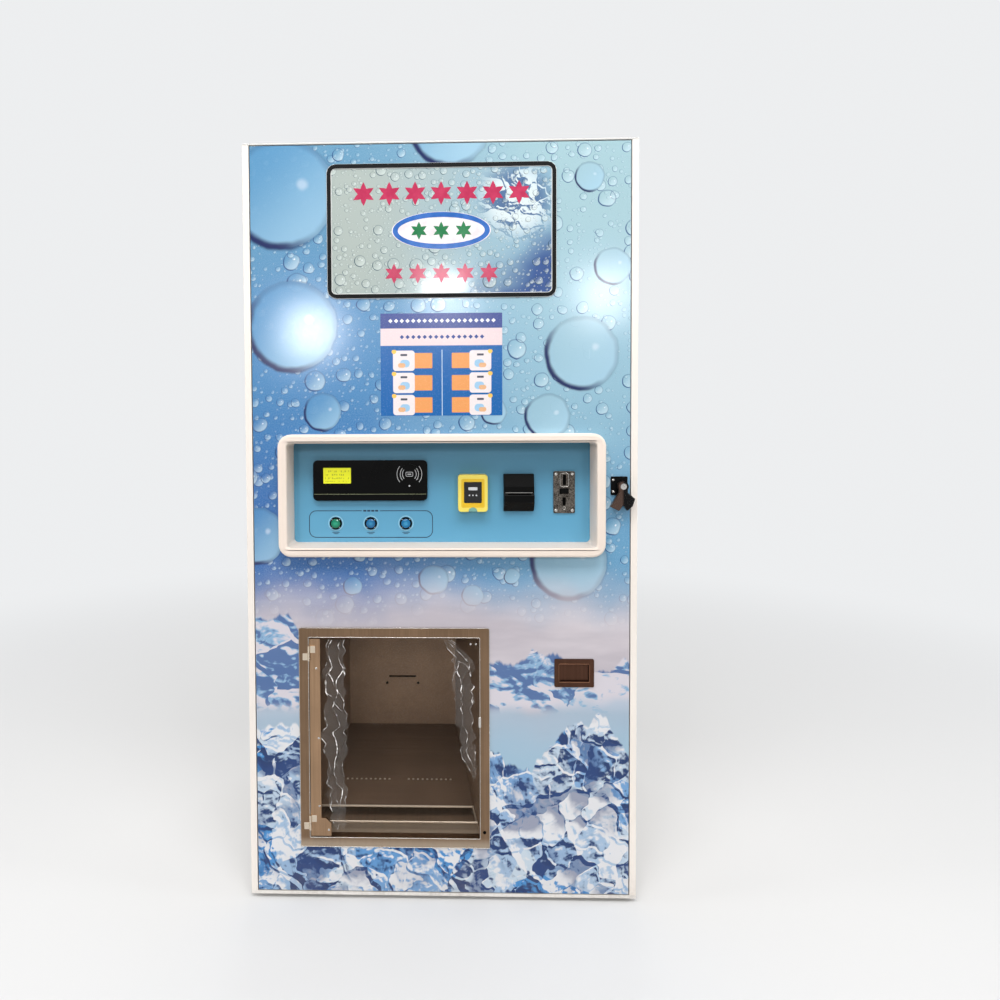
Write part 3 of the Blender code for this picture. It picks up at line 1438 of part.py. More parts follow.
def make_lock():
    """A black plate with a steel barrel; the handle's shaft runs through it to the cam."""
    plate_outline = rectangle(
        LOCK_X - LOCK_PLATE_SHIFT, LOCK_Z, LOCK_PLATE_WIDTH, LOCK_PLATE_HEIGHT, TERMINAL_ROUND
    )
    plate_front = at(-LOCK_PLATE - SEAT_GAP)
    housing = plate("lock_housing", [plate_outline], "xz", plate_front, at(-SEAT_GAP), "black_plastic")
    length = BARREL_PROUD + BARREL_DEPTH
    middle = at((BARREL_DEPTH - BARREL_PROUD) / 2)
    barrel = cylinder("barrel", (LOCK_X, middle, LOCK_Z), BARREL_RADIUS, length, "-y", "bright_steel")
    fuse(housing, barrel)
    bore_radius = LOCK_SHAFT_RADIUS + RUNNING_GAP
    bore = cylinder(
        "bore", (LOCK_X, middle, LOCK_Z), bore_radius, length + 2 * CUT_OVERRUN, "-y", "bright_steel"
    )
    cut(housing, bore)
    back = at(-BARREL_PROUD - SEAT_GAP)
    front = back - HANDLE_THICKNESS
    handle = plate("lock_handle", [handle_outline()], "xz", front, back, "black_plastic")
    hub = cylinder(
        "hub",
        (LOCK_X, (front + back) / 2, LOCK_Z),
        HANDLE_HUB_RADIUS + HANDLE_ROUND,
        HANDLE_THICKNESS + 2 * SEAT_GAP,
        "-y",
        "black_plastic",
    )
    hub.data.transform(Matrix.Translation((0, -SEAT_GAP, 0)))
    shaft_end = at(CAM_DEPTH - SEAT_GAP)
    shaft = cylinder(
        "shaft",
        (LOCK_X, (back + shaft_end) / 2 - HANDLE_THICKNESS / 4, LOCK_Z),
        LOCK_SHAFT_RADIUS,
        shaft_end - back + HANDLE_THICKNESS / 2,
        "-y",
        "black_plastic",
    )
    round_edges(handle, HANDLE_ROUND, 1, math.radians(70))
    fuse(handle, hub, shaft)
    turn_about(handle, (LOCK_X, back, LOCK_Z))
    cam_z = LOCK_Z + (CAM_TAIL - CAM_LENGTH) / 2
    cam_outline = rectangle(LOCK_X, cam_z, CAM_WIDTH, CAM_LENGTH + CAM_TAIL, CAM_WIDTH / 3)
    cam = plate(
        "latch_cam",
        [cam_outline],
        "xz",
        at(CAM_DEPTH),
        at(CAM_DEPTH + CAM_THICKNESS),
        "bright_steel",
    )
    turn_about(cam, (LOCK_X, at(CAM_DEPTH), LOCK_Z))


# Dispensing bay


def bay_pivot():
    return (BAY_LEFT + SEAT_GAP, at(-BAY_PIVOT_PROUD))


def hinge_leaf(side, low, high, face):
    """A leaf that lies on a face, with its knuckle; side -1 reaches over the flange."""
    x, y = bay_pivot()
    reach = sorted((x + side * BAY_KNUCKLE_RADIUS / 3, x + side * BAY_LEAF_REACH))
    leaf = box(
        "leaf",
        (reach[0], face - BAY_LEAF_THICKNESS, low + SEAT_GAP),
        (reach[1], face + BAY_LEAF_THICKNESS / 2, high - SEAT_GAP),
        "stainless",
    )
    centre = (x, y, (low + high) / 2)
    knuckle = cylinder(
        "knuckle", centre, BAY_KNUCKLE_RADIUS, high - low, "z", "stainless", SMALL_ROUND_STEPS
    )
    return fuse(leaf, knuckle)


def hinge_rod(name, radius, low, high):
    x, y = bay_pivot()
    return cylinder(name, (x, y, (low + high) / 2), radius, high - low, "z", "stainless", SMALL_ROUND_STEPS)


def leaf_heights():
    """The middle height of the lower and of the upper bay hinge."""
    return (BAY_BOTTOM + BAY_LEAF_INSET, BAY_TOP - BAY_LEAF_INSET)


def make_bay_flange():
    """The stainless surround: a flat flange outside, a folded collar into the door."""
    depth = BAY_COLLAR_DEPTH
    outer = rectangle(BAY_X, BAY_Z, BAY_WIDTH, BAY_HEIGHT, BAY_CORNER)
    hole = rectangle(BAY_X, BAY_Z, BAY_OPEN_WIDTH, BAY_OPEN_HEIGHT)
    flange = plate(
        "bay_flange", [outer, hole], "xz", at(-BAY_FLANGE_PROUD - SEAT_GAP), at(depth), "stainless"
    )
    collar = rectangle(
        BAY_X, BAY_Z, BAY_OPEN_WIDTH + 2 * BAY_COLLAR_WALL, BAY_OPEN_HEIGHT + 2 * BAY_COLLAR_WALL
    )
    around = rectangle(BAY_X, BAY_Z, BAY_WIDTH + BAY_FLANGE, BAY_HEIGHT + BAY_FLANGE)
    behind = plate("behind", [around, collar], "xz", at(-SEAT_GAP), at(depth + CUT_OVERRUN), "stainless")
    cut(flange, behind)
    face = at(-BAY_FLANGE_PROUD - SEAT_GAP)
    half = BAY_LEAF_HEIGHT / 2
    pieces = []
    for middle in leaf_heights():
        leaf = hinge_leaf(-1, middle - half, middle - SEAT_GAP, face)
        pin_top = middle + half - SEAT_GAP
        pin = hinge_rod("pin", BAY_HINGE_PIN_RADIUS, middle - half / 2, pin_top)
        pieces.append(fuse(leaf, pin))
    fuse(flange, *pieces)


def side_at(depth):
    """Half the bay's inner width at a depth: the side walls draw in towards the back."""
    share = (depth - LINER_FRONT) / (BAY_DEPTH - LINER_FRONT)
    return BAY_OPEN_WIDTH / 2 - share * BAY_SIDE_TAPER


def drop_depths():
    """Front and back of the passage that ice falls through, at the foot of the chute."""
    front = BIN_FRONT_DEPTH + BIN_WALL + DROP_FRONT_GAP - CHUTE_SHIFT
    return front, front + DROP_LENGTH


def make_bay_liner():
    """A tapered stainless tub, open to the front, with a hole in its roof for falling ice."""
    tub = box(
        "bay_liner",
        (BAY_LEFT, at(LINER_FRONT), BAY_BOTTOM),
        (BAY_RIGHT, at(BAY_DEPTH), BAY_TOP),
        "stainless",
    )
    for vert in tub.data.vertices:
        if vert.co.y > at(LINER_FRONT) + SEAT_GAP:
            vert.co.x = BAY_X + math.copysign(side_at(BAY_DEPTH), vert.co.x - BAY_X)
    drop_faces(tub, lambda middle: middle.y < at(LINER_FRONT) + SEAT_GAP)
    thicken(tub, BAY_WALL)
    front, back = drop_depths()
    hole = box(
        "hole",
        (BAY_X - DROP_WIDTH / 2, at(front), BAY_TOP - CUT_OVERRUN),
        (BAY_X + DROP_WIDTH / 2, at(back), BAY_TOP + BAY_WALL + CUT_OVERRUN),
        "stainless",
    )
    cut(tub, hole)


def make_bay_floor():
    """The sloping floor with its drain holes, welded to a rod whose bent ends carry a front rod."""
    floor_back = BAY_DEPTH - 2 * SEAT_GAP
    rise = FLOOR_BACK_RISE - FLOOR_FRONT_RISE
    slope = math.atan2(rise, floor_back - FLOOR_FRONT_DEPTH)
    length = (floor_back - FLOOR_FRONT_DEPTH) / math.cos(slope) - FLOOR_SHEET
    front_half = side_at(FLOOR_FRONT_DEPTH) - 2 * SEAT_GAP
    back_half = side_at(BAY_DEPTH) - 2 * SEAT_GAP
    loops = [[(-front_half, 0), (front_half, 0), (back_half, length), (-back_half, length)]]
    span = (DRAIN_HOLES - 1) * DRAIN_HOLE_PITCH
    for side in (-1, 1):
        for index in range(DRAIN_HOLES):
            x = side * (DRAIN_GROUP_GAP / 2 + span - index * DRAIN_HOLE_PITCH)
            loops.append(circle(x, DRAIN_HOLE_DISTANCE, DRAIN_HOLE_RADIUS, DRAIN_HOLE_STEPS))
    floor = plate("bay_floor", loops, "xy", -FLOOR_SHEET / 2, FLOOR_SHEET / 2, "stainless")
    place = Vector((BAY_X, at(FLOOR_FRONT_DEPTH), BAY_BOTTOM + FLOOR_FRONT_RISE))
    floor.data.transform(Matrix.Translation(place) @ Matrix.Rotation(slope, 4, "X"))
    inset = BAY_RAIL_RADIUS + 2 * SEAT_GAP
    rear_half = side_at(FLOOR_FRONT_DEPTH) - inset
    front_half = side_at(FRONT_RAIL_DEPTH) - inset
    rear_y, rear_z = at(FLOOR_FRONT_DEPTH), BAY_BOTTOM + FLOOR_FRONT_RISE
    front_y, front_z = at(FRONT_RAIL_DEPTH), BAY_BOTTOM + FRONT_RAIL_RISE
    guard = pipe(
        "guard",
        (
            (BAY_X - rear_half, rear_y, rear_z),
            (BAY_X - front_half, front_y, front_z),
            (BAY_X + front_half, front_y, front_z),
            (BAY_X + rear_half, rear_y, rear_z),
        ),
        BAY_RAIL_RADIUS,
        "stainless",
    )
    rail = cylinder(
        "rail", (BAY_X, rear_y, rear_z), BAY_RAIL_RADIUS, 2 * rear_half, "x", "stainless", SMALL_ROUND_STEPS
    )
    fuse(floor, rail, guard)


def make_bay_door():
    """Hinge stile with its foot, the clear pane behind it and its two hinge leaves."""
    x, y = bay_pivot()
    left = BAY_LEFT + BAY_DOOR_GAP / 2
    right = left + BAY_STILE_WIDTH
    low = BAY_BOTTOM + BAY_DOOR_GAP
    high = BAY_TOP - BAY_DOOR_GAP
    foot = right + BAY_STILE_FOOT_WIDTH
    foot_top = low + BAY_STILE_FOOT_HEIGHT
    outline = [
        (left, low),
        (foot, low),
        (foot, foot_top - BAY_STILE_FOOT_SLOPE),
        (foot - BAY_STILE_FOOT_SLOPE, foot_top),
        (right, foot_top),
        (right, high),
        (left, high),
    ]
    front = -BAY_FLANGE_PROUD - SEAT_GAP
    back = front + BAY_STILE_THICKNESS
    stile = plate("bay_stile", [outline], "xz", at(front), at(back), "stainless")
    half = BAY_LEAF_HEIGHT / 2
    leaves = []
    bores = []
    for middle in leaf_heights():
        leaves.append(hinge_leaf(1, middle + SEAT_GAP, middle + half, at(front)))
        bores.append(hinge_rod("bore", BAY_HINGE_PIN_RADIUS + SEAT_GAP, middle, middle + 2 * half))
    fuse(stile, *leaves)
    cut(stile, *bores)
    turn_about(stile, (x, y, BAY_Z))
    pane_front = back + SEAT_GAP
    pane = box(
        "bay_pane",
        (left, at(pane_front), low),
        (BAY_RIGHT - BAY_DOOR_GAP, at(pane_front + BAY_PANE), high),
        "clear_acrylic",
    )
    turn_about(pane, (x, y, BAY_Z))
    return pane_front + BAY_PANE


def film_outline(start, width, depth):
    """Plan of a hanging film: a wave across its width, with the film's thickness behind it."""
    front = []
    rear = []
    for step in range(FILM_STEPS + 1):
        share = step / FILM_STEPS
        wave = FILM_FOLD * (1 - math.cos(2 * math.pi * FILM_FOLDS * share))
        x = start + share * width
        front.append((x, at(depth) + wave))
        rear.append((x, at(depth) + wave + FILM_THICKNESS))
    return front + rear[::-1]


def make_door_film(pane_back):
    """Clear film that clings along the pane's top edge and hangs in a long and a short strip."""
    x, y = bay_pivot()
    depth = pane_back + SEAT_GAP
    low = BAY_BOTTOM + BAY_DOOR_GAP + FILM_LEFT_BOTTOM_MARGIN
    high = BAY_TOP - BAY_DOOR_GAP - FILM_LEFT_TOP_MARGIN
    left = BAY_LEFT + BAY_STILE_WIDTH + FILM_LEFT_INSET
    right = BAY_RIGHT - BAY_DOOR_GAP - FILM_RIGHT_INSET - FILM_RIGHT_WIDTH
    band_front = at(depth) + FILM_THICKNESS / 4
    film = box(
        "door_film",
        (left + FILM_THICKNESS, band_front, high - FILM_BAND),
        (right + FILM_RIGHT_WIDTH - FILM_THICKNESS, band_front + FILM_THICKNESS, high - FILM_THICKNESS),
        "clear_film",
    )
    short = high - FILM_RIGHT_HEIGHT
    strips = ((left, FILM_LEFT_WIDTH, low), (right, FILM_RIGHT_WIDTH, short))
    pieces = []
    for start, width, bottom in strips:
        outline = film_outline(start, width, depth)
        pieces.append(plate("strip", [outline], "xy", bottom, high, "clear_film"))
    fuse(film, *pieces)
    turn_about(film, (x, y, BAY_Z))


# Ice plant


def make_shelf():
    """A flanged deck between the side panels; the ice maker stands on it, the bin hangs below."""
    front = at(SHELF_FRONT_DEPTH)
    back = REAR_Y - SHEET - SEAT_GAP
    shelf = box("shelf", (-INSIDE, front, SHELF_Z), (INSIDE, back, SHELF_Z + SHELF_SHEET), "grey_paint")
    flanges = []
    for side in (-1, 1):
        reach = sorted((side * INSIDE, side * (INSIDE - SHEET)))
        flanges.append(
            box(
                "flange",
                (reach[0], front, SHELF_Z - SHELF_FLANGE),
                (reach[1], back - CUT_OVERRUN, SHELF_Z + SHELF_SHEET / 2),
                "grey_paint",
            )
        )
    fuse(shelf, *flanges)
    x, y = spout_place()
    hole = cylinder(
        "hole", (x, y, SHELF_Z), SPOUT_RADIUS + RUNNING_GAP, 4 * SHELF_SHEET, "z", "grey_paint"
    )
    cut(shelf, hole)


def spout_place():
    """Where the spout drops through the shelf, beside the freezing drum."""
    x = across(MAKER_ACROSS_SHARE)
    return x + PORT_REACH + SEAT_GAP + SPOUT_LEAD + SPOUT_BEND, at(MAKER_DEPTH)


def make_ice_maker():
    """Upright freezing drum with clamp bands, its gearbox below and its outlet port at the side."""
    x, y = across(MAKER_ACROSS_SHARE), at(MAKER_DEPTH)
    low = SHELF_Z + SHELF_SHEET + SEAT_GAP
    drum_low = low + MAKER_BASE_HEIGHT
    profile = [(0, drum_low + MAKER_DRUM_HEIGHT)]
    pitch = MAKER_DRUM_HEIGHT / MAKER_BANDS
    for index in range(MAKER_BANDS):
        top = drum_low + MAKER_DRUM_HEIGHT - index * pitch
        profile.append((MAKER_RADIUS + MAKER_BAND, top))
        profile.append((MAKER_RADIUS + MAKER_BAND, top - pitch / 4))
        profile.append((MAKER_RADIUS, top - pitch / 4))
        profile.append((MAKER_RADIUS, top - pitch))
    profile.append((0, drum_low))
    maker = turned("ice_maker", profile, (x, y, 0), "z", "aluminium")
    half = MAKER_BASE_WIDTH / 2
    gearbox = box(
        "gearbox",
        (x - half, y - half, low),
        (x + half, y + half, drum_low + 2 * MAKER_BAND),
        "aluminium",
    )
    port_z = drum_low + MAKER_DRUM_HEIGHT - PORT_HEIGHT
    port = box(
        "port",
        (x, y - PORT_WIDTH / 2, port_z - PORT_HEIGHT / 2),
        (x + PORT_REACH, y + PORT_WIDTH / 2, port_z + PORT_HEIGHT / 2),
        "aluminium",
    )
    fuse(maker, gearbox, port)
    smooth(maker)
    hole_x, hole_y = spout_place()
    points = [(x + PORT_REACH + SEAT_GAP, y, port_z)]
    turn_z = port_z - SPOUT_BEND
    for step in range(SPOUT_BEND_STEPS + 1):
        angle = math.pi / 2 * (1 - step / SPOUT_BEND_STEPS)
        start_x = hole_x - SPOUT_BEND
        points.append((start_x + SPOUT_BEND * math.cos(angle), y, turn_z + SPOUT_BEND * math.sin(angle)))
    points.append((hole_x, hole_y, SHELF_Z - SPOUT_DIP))
    spout = pipe("ice_spout", points, SPOUT_RADIUS, "aluminium", capped=False)
    thicken(spout, SPOUT_WALL, outward=False)
    smooth(spout)


def bin_outline():
    """Section of the hopper: straight above, drawn in to a half-round trough below."""
    top = SHELF_Z - SEAT_GAP
    wide = BIN_HALF_WIDTH
    points = [(BAY_X + wide, top), (BAY_X - wide, top), (BAY_X - wide, top - BIN_STRAIGHT)]
    for step in range(TROUGH_STEPS + 1):
        angle = math.pi * (1 + step / TROUGH_STEPS)
        points.append(
            (BAY_X + TROUGH_RADIUS * math.cos(angle), TROUGH_Z + TROUGH_RADIUS * math.sin(angle))
        )
    points.append((BAY_X + wide, top - BIN_STRAIGHT))
    return points


def make_bin():
    """The ice hopper: its walls narrow to the auger's trough, with a drop hole near the front."""
    top = SHELF_Z - SEAT_GAP
    front = at(BIN_FRONT_DEPTH + BIN_WALL)
    back = at(BIN_BACK_DEPTH - BIN_WALL)
    hopper = plate("ice_bin", [bin_outline()], "xz", front, back, "stainless")
    drop_faces(hopper, lambda middle: middle.z > top - SEAT_GAP)
    thicken(hopper, BIN_WALL)
    rim_outer = rectangle(
        BAY_X,
        (front + back) / 2,
        2 * (BIN_HALF_WIDTH + BIN_RIM),
        back - front + 2 * BIN_RIM,
    )
    rim_inner = rectangle(BAY_X, (front + back) / 2, 2 * BIN_HALF_WIDTH + BIN_WALL, back - front + BIN_WALL)
    rim = plate(
        "rim", [rim_outer, rim_inner], "xy", top - SEAT_GAP - BIN_RIM_SHEET, top - SEAT_GAP, "stainless"
    )
    fuse(hopper, rim)
    hole_front = BIN_FRONT_DEPTH + BIN_WALL + DROP_FRONT_GAP
    drop = box(
        "drop",
        (BAY_X - DROP_WIDTH / 2, at(hole_front), TROUGH_Z - TROUGH_RADIUS - BIN_WALL - CUT_OVERRUN),
        (BAY_X + DROP_WIDTH / 2, at(hole_front + DROP_LENGTH), TROUGH_Z - TROUGH_RADIUS / 2),
        "stainless",
    )
    length = back - front + 2 * BIN_WALL + 2 * CUT_OVERRUN
    bore = cylinder(
        "bore",
        (BAY_X, (front + back) / 2, TROUGH_Z),
        AUGER_SHAFT_RADIUS + RUNNING_GAP,
        length,
        "-y",
        "stainless",
    )
    cut(hopper, drop, bore)


def make_auger():
    """The screw that carries ice forward: a helical flight wound round a plain shaft."""
    front = at(BIN_FRONT_DEPTH + BIN_WALL + AUGER_END_GAP)
    back = at(BIN_BACK_DEPTH - BIN_WALL - AUGER_END_GAP)
    run = back - front - AUGER_FLIGHT
    turns = run / AUGER_PITCH
    steps = int(turns * AUGER_STEPS)
    shape = bmesh.new()
    rings = []
    root = AUGER_SHAFT_RADIUS * 2 / 3
    for step in range(steps + 1):
        share = step / steps
        angle = 2 * math.pi * turns * share
        y = front + run * share
        side_x, side_z = math.cos(angle), math.sin(angle)
        ring = []
        for radius, shift in ((root, 0), (AUGER_RADIUS, 0), (AUGER_RADIUS, 1), (root, 1)):
            place = (BAY_X + radius * side_x, y + shift * AUGER_FLIGHT, TROUGH_Z + radius * side_z)
            ring.append(shape.verts.new(place))
        rings.append(ring)
    for first, second in zip(rings, rings[1:]):
        for index in range(4):
            following = (index + 1) % 4
            shape.faces.new((first[index], first[following], second[following], second[index]))
    shape.faces.new(rings[0])
    shape.faces.new(rings[-1][::-1])
    auger = from_bmesh("ice_auger", shape, "stainless")
    shaft_front = at(BIN_FRONT_DEPTH - AUGER_SHAFT_OVERHANG)
    shaft_back = at(BIN_BACK_DEPTH + AUGER_SHAFT_OVERHANG)
    shaft = cylinder(
        "shaft",
        (BAY_X, (shaft_front + shaft_back) / 2, TROUGH_Z),
        AUGER_SHAFT_RADIUS,
        shaft_back - shaft_front,
        "-y",
        "stainless",
        AUGER_STEPS,
    )
    fuse(auger, shaft)
    turn_about(auger, (BAY_X, shaft_front, TROUGH_Z))
    motor_front = shaft_back + SEAT_GAP
    half = AUGER_MOTOR_WIDTH / 2
    motor = box(
        "auger_motor",
        (BAY_X - half, motor_front, TROUGH_Z - half),
        (BAY_X + half, motor_front + AUGER_MOTOR_DEPTH, TROUGH_Z + half),
        "grey_paint",
    )
    round_edges(motor, TERMINAL_ROUND, 1)
    can = cylinder(
        "can",
        (BAY_X, motor_front + AUGER_MOTOR_DEPTH + AUGER_MOTOR_LENGTH / 2 - TERMINAL_ROUND, TROUGH_Z),
        AUGER_MOTOR_RADIUS,
        AUGER_MOTOR_LENGTH,
        "-y",
        "grey_paint",
    )
    pads = []
    pad_front = at(BIN_BACK_DEPTH) + SEAT_GAP
    pad_back = motor_front + AUGER_MOTOR_DEPTH / 2
    for side in (-1, 1):
        pad_x = BAY_X + side * half * 2 / 3
        pads.append(
            box(
                "pad",
                (pad_x - TERMINAL_ROUND, pad_front, TROUGH_Z - half / 2),
                (pad_x + TERMINAL_ROUND, pad_back, TROUGH_Z + half / 2),
                "grey_paint",
            )
        )
    fuse(motor, can, *pads)


def make_chute():
    """A slanted duct from the trough's drop hole to the bay, with the shutter's two guides."""
    top_z = TROUGH_Z - CHUTE_SADDLE
    bottom_z = shutter_bottom() + SHUTTER_THICKNESS + RUNNING_GAP
    front, back = drop_depths()
    half = DROP_WIDTH / 2
    duct = box(
        "ice_chute",
        (BAY_X - half, at(front), bottom_z),
        (BAY_X + half, at(back), top_z),
        "stainless",
    )
    for vert in duct.data.vertices:
        if vert.co.z > (top_z + bottom_z) / 2:
            vert.co.y += CHUTE_SHIFT
    drop_faces(duct, lambda middle: abs(middle.z - (top_z + bottom_z) / 2) > (top_z - bottom_z) / 3)
    thicken(duct, CHUTE_WALL)
    reach = 2 * (BIN_BACK_DEPTH - BIN_FRONT_DEPTH)
    saddle = cylinder(
        "saddle",
        (BAY_X, at(BIN_FRONT_DEPTH), TROUGH_Z),
        TROUGH_RADIUS + BIN_WALL + RUNNING_GAP,
        reach,
        "-y",
        "stainless",
        4 * TROUGH_STEPS,
    )
    trim = centred_box(
        "trim",
        (BAY_X, at(front), bottom_z + (GUIDE_SHEET - CHUTE_SADDLE) / 2),
        (2 * DROP_LENGTH, 4 * DROP_LENGTH, CHUTE_SADDLE),
        "stainless",
    )
    cut(duct, saddle, trim)
    guides = []
    length = SHUTTER_TRAVEL + DROP_LENGTH + 2 * SHUTTER_LAP
    guide_front = at(front - SHUTTER_LAP)
    low = shutter_bottom() - RUNNING_GAP - GUIDE_SHEET
    for side in (-1, 1):
        inner = BAY_X + side * (half + SHUTTER_LAP - GUIDE_LIP)
        groove = BAY_X + side * (half + SHUTTER_LAP + RUNNING_GAP)
        outer = groove + side * GUIDE_WIDTH / 2
        shelf_z = shutter_bottom() - RUNNING_GAP
        cap_z = bottom_z
        section = [
            (inner, low),
            (outer, low),
            (outer, cap_z + GUIDE_SHEET),
            (inner, cap_z + GUIDE_SHEET),
            (inner, cap_z),
            (groove, cap_z),
            (groove, shelf_z),
            (inner, shelf_z),
        ]
        guides.append(plate("guide", [section], "xz", guide_front, guide_front + length, "stainless"))
    fuse(duct, *guides)
    shutter = box(
        "chute_shutter",
        (BAY_X - half - SHUTTER_LAP, guide_front, shutter_bottom()),
        (BAY_X + half + SHUTTER_LAP, at(back + SHUTTER_LAP), shutter_bottom() + SHUTTER_THICKNESS),
        "bright_steel",
    )
    turn_about(shutter, (BAY_X, guide_front, shutter_bottom()))


def shutter_bottom():
    return BAY_TOP + BAY_WALL + SHUTTER_LINER_GAP


def make_compressor():
    """A domed compressor can welded to its foot plate."""
    x = across(COMPRESSOR_ACROSS_SHARE)
    y = at(COMPRESSOR_DEPTH_SHARE * CABINET_DEPTH)
    low = BASE_TOP + SEAT_GAP
    top = low + COMPRESSOR_HEIGHT
    radius = COMPRESSOR_RADIUS
    profile = (
        (0, top),
        (radius * 3 / 5, top - radius / 8),
        (radius * 9 / 10, top - radius / 3),
        (radius, top - radius * 2 / 3),
        (radius, low + radius / 2),
        (radius * 4 / 5, low + COMPRESSOR_FOOT_SHEET / 2),
        (0, low + COMPRESSOR_FOOT_SHEET / 2),
    )
    can = turned("compressor", profile, (x, y, 0), "z", "black_plastic")
    foot = rectangle(x, y, 2 * COMPRESSOR_FOOT, 2 * COMPRESSOR_FOOT, COMPRESSOR_FOOT / 3)
    fuse(can, plate("foot", [foot], "xy", low, low + COMPRESSOR_FOOT_SHEET, "black_plastic"))


def condenser_depths():
    """Front and back of the finned coil, counted from the cabinet's rear face."""
    back = CABINET_DEPTH - SHEET - CONDENSER_REAR_GAP
    return back - CONDENSER_THICKNESS, back


def make_condenser():
    """A finned coil block standing on the base pan, behind the rear louvres."""
    x = across(CONDENSER_ACROSS_SHARE)
    front, back = condenser_depths()
    low = BASE_TOP + SEAT_GAP
    left = x - CONDENSER_WIDTH / 2
    pitch = CONDENSER_WIDTH / CONDENSER_FINS
    near = []
    far = []
    for index in range(CONDENSER_FINS):
        start = left + index * pitch
        for share, depth in ((0, 0), (0.5, 0), (0.5, 1), (1, 1)):
            place = start + share * pitch
            near.append((place, at(front + depth * CONDENSER_FIN_DEPTH)))
            far.append((place, at(back - depth * CONDENSER_FIN_DEPTH)))
    near = near[:-1]
    far = far[:-1]
    plate("condenser_coil", [near + far[::-1]], "xy", low, low + CONDENSER_HEIGHT, "copper")


def fan_centre():
    """Middle of the fan, on the shroud's axis."""
    front, _ = condenser_depths()
    depth = front - SEAT_GAP - SHROUD_DEPTH / 2
    return Vector((across(CONDENSER_ACROSS_SHARE), at(depth), BASE_TOP + CONDENSER_HEIGHT / 2))


def make_shroud():
    front, _ = condenser_depths()
    centre = fan_centre()
    low = BASE_TOP + SEAT_GAP
    outer = rectangle(centre.x, low + CONDENSER_HEIGHT / 2, CONDENSER_WIDTH, CONDENSER_HEIGHT)
    hole = circle(centre.x, centre.z, FAN_RADIUS + FAN_TIP_GAP, 2 * SMALL_ROUND_STEPS)
    back = front - SEAT_GAP
    plate("fan_shroud", [outer, hole], "xz", at(back - SHROUD_DEPTH), at(back), "grey_paint")


def fan_blade(turn):
    """One blade: a sheet that widens outwards and loses pitch from root to tip."""
    shape = bmesh.new()
    bmesh.ops.create_grid(shape, x_segments=FAN_BLADE_STEPS, y_segments=2, size=0.5)
    inner = FAN_HUB_RADIUS * 4 / 5
    for vert in shape.verts:
        out = vert.co.x + 0.5
        side = vert.co.y
        chord = FAN_BLADE_ROOT_CHORD + out * (FAN_BLADE_TIP_CHORD - FAN_BLADE_ROOT_CHORD)
        pitch = math.radians(FAN_ROOT_PITCH + out * (FAN_TIP_PITCH - FAN_ROOT_PITCH))
        radius = inner + out * (FAN_RADIUS - inner)
        along = side * chord
        angle = turn + along * math.cos(pitch) / radius
        vert.co = (radius * math.cos(angle), along * math.sin(pitch), radius * math.sin(angle))
    blade = from_bmesh("blade", shape, "black_plastic")
    modifier = blade.modifiers.new("sheet", "SOLIDIFY")
    modifier.thickness = FAN_BLADE_SHEET
    modifier.offset = 0.0
    return bake(blade)


def make_fan():
    """Five pitched blades on a hub, and the motor on three arms that reach the shroud."""
    centre = fan_centre()
    fan = cylinder("fan_blades", (0, 0, 0), FAN_HUB_RADIUS, FAN_HUB_LENGTH, "-y", "black_plastic")
    blades = [fan_blade(2 * math.pi * index / FAN_BLADES) for index in range(FAN_BLADES)]
    fuse(fan, *blades)
    smooth(fan)
    fan.location = centre
    shaft_tip = centre.y - FAN_HUB_LENGTH / 2 - SEAT_GAP
    arm_back = centre.y - SHROUD_DEPTH / 2 - SEAT_GAP
    arm_front = arm_back - MOTOR_ARM_SHEET
    motor_back = min(arm_front, shaft_tip) - FAN_STANDOFF
    motor_middle = motor_back - MOTOR_LENGTH / 2
    motor = cylinder(
        "fan_motor", (centre.x, motor_middle, centre.z), MOTOR_RADIUS, MOTOR_LENGTH, "-y", "grey_paint"
    )
    shaft_length = shaft_tip - motor_middle
    shaft = cylinder(
        "shaft",
        (centre.x, shaft_tip - shaft_length / 2, centre.z),
        MOTOR_SHAFT_RADIUS,
        shaft_length,
        "-y",
        "grey_paint",
        SMALL_ROUND_STEPS,
    )
    pieces = [shaft]
    reach = FAN_RADIUS + 2 * FAN_TIP_GAP + MOTOR_ARM_WIDTH
    for index in range(MOTOR_ARMS):
        turn = Matrix.Rotation(math.pi / 2 + 2 * math.pi * index / MOTOR_ARMS, 4, "Y")
        inner = MOTOR_RADIUS * 3 / 4
        strap_front = motor_back - MOTOR_ARM_SHEET - FAN_STANDOFF
        strap = box(
            "strap",
            (inner, strap_front, -MOTOR_ARM_WIDTH / 2),
            (reach, strap_front + MOTOR_ARM_SHEET, MOTOR_ARM_WIDTH / 2),
            "grey_paint",
        )
        foot = box(
            "foot",
            (
                reach - MOTOR_ARM_SHEET - MOTOR_ARM_WIDTH / 2,
                strap_front + MOTOR_ARM_SHEET / 2,
                -MOTOR_ARM_WIDTH / 3,
            ),
            (reach - MOTOR_ARM_SHEET / 2, arm_back, MOTOR_ARM_WIDTH / 3),
            "grey_paint",
        )
        fuse(strap, foot)
        strap.data.transform(Matrix.Translation((centre.x, 0, centre.z)) @ turn)
        pieces.append(strap)
    fuse(motor, *pieces)


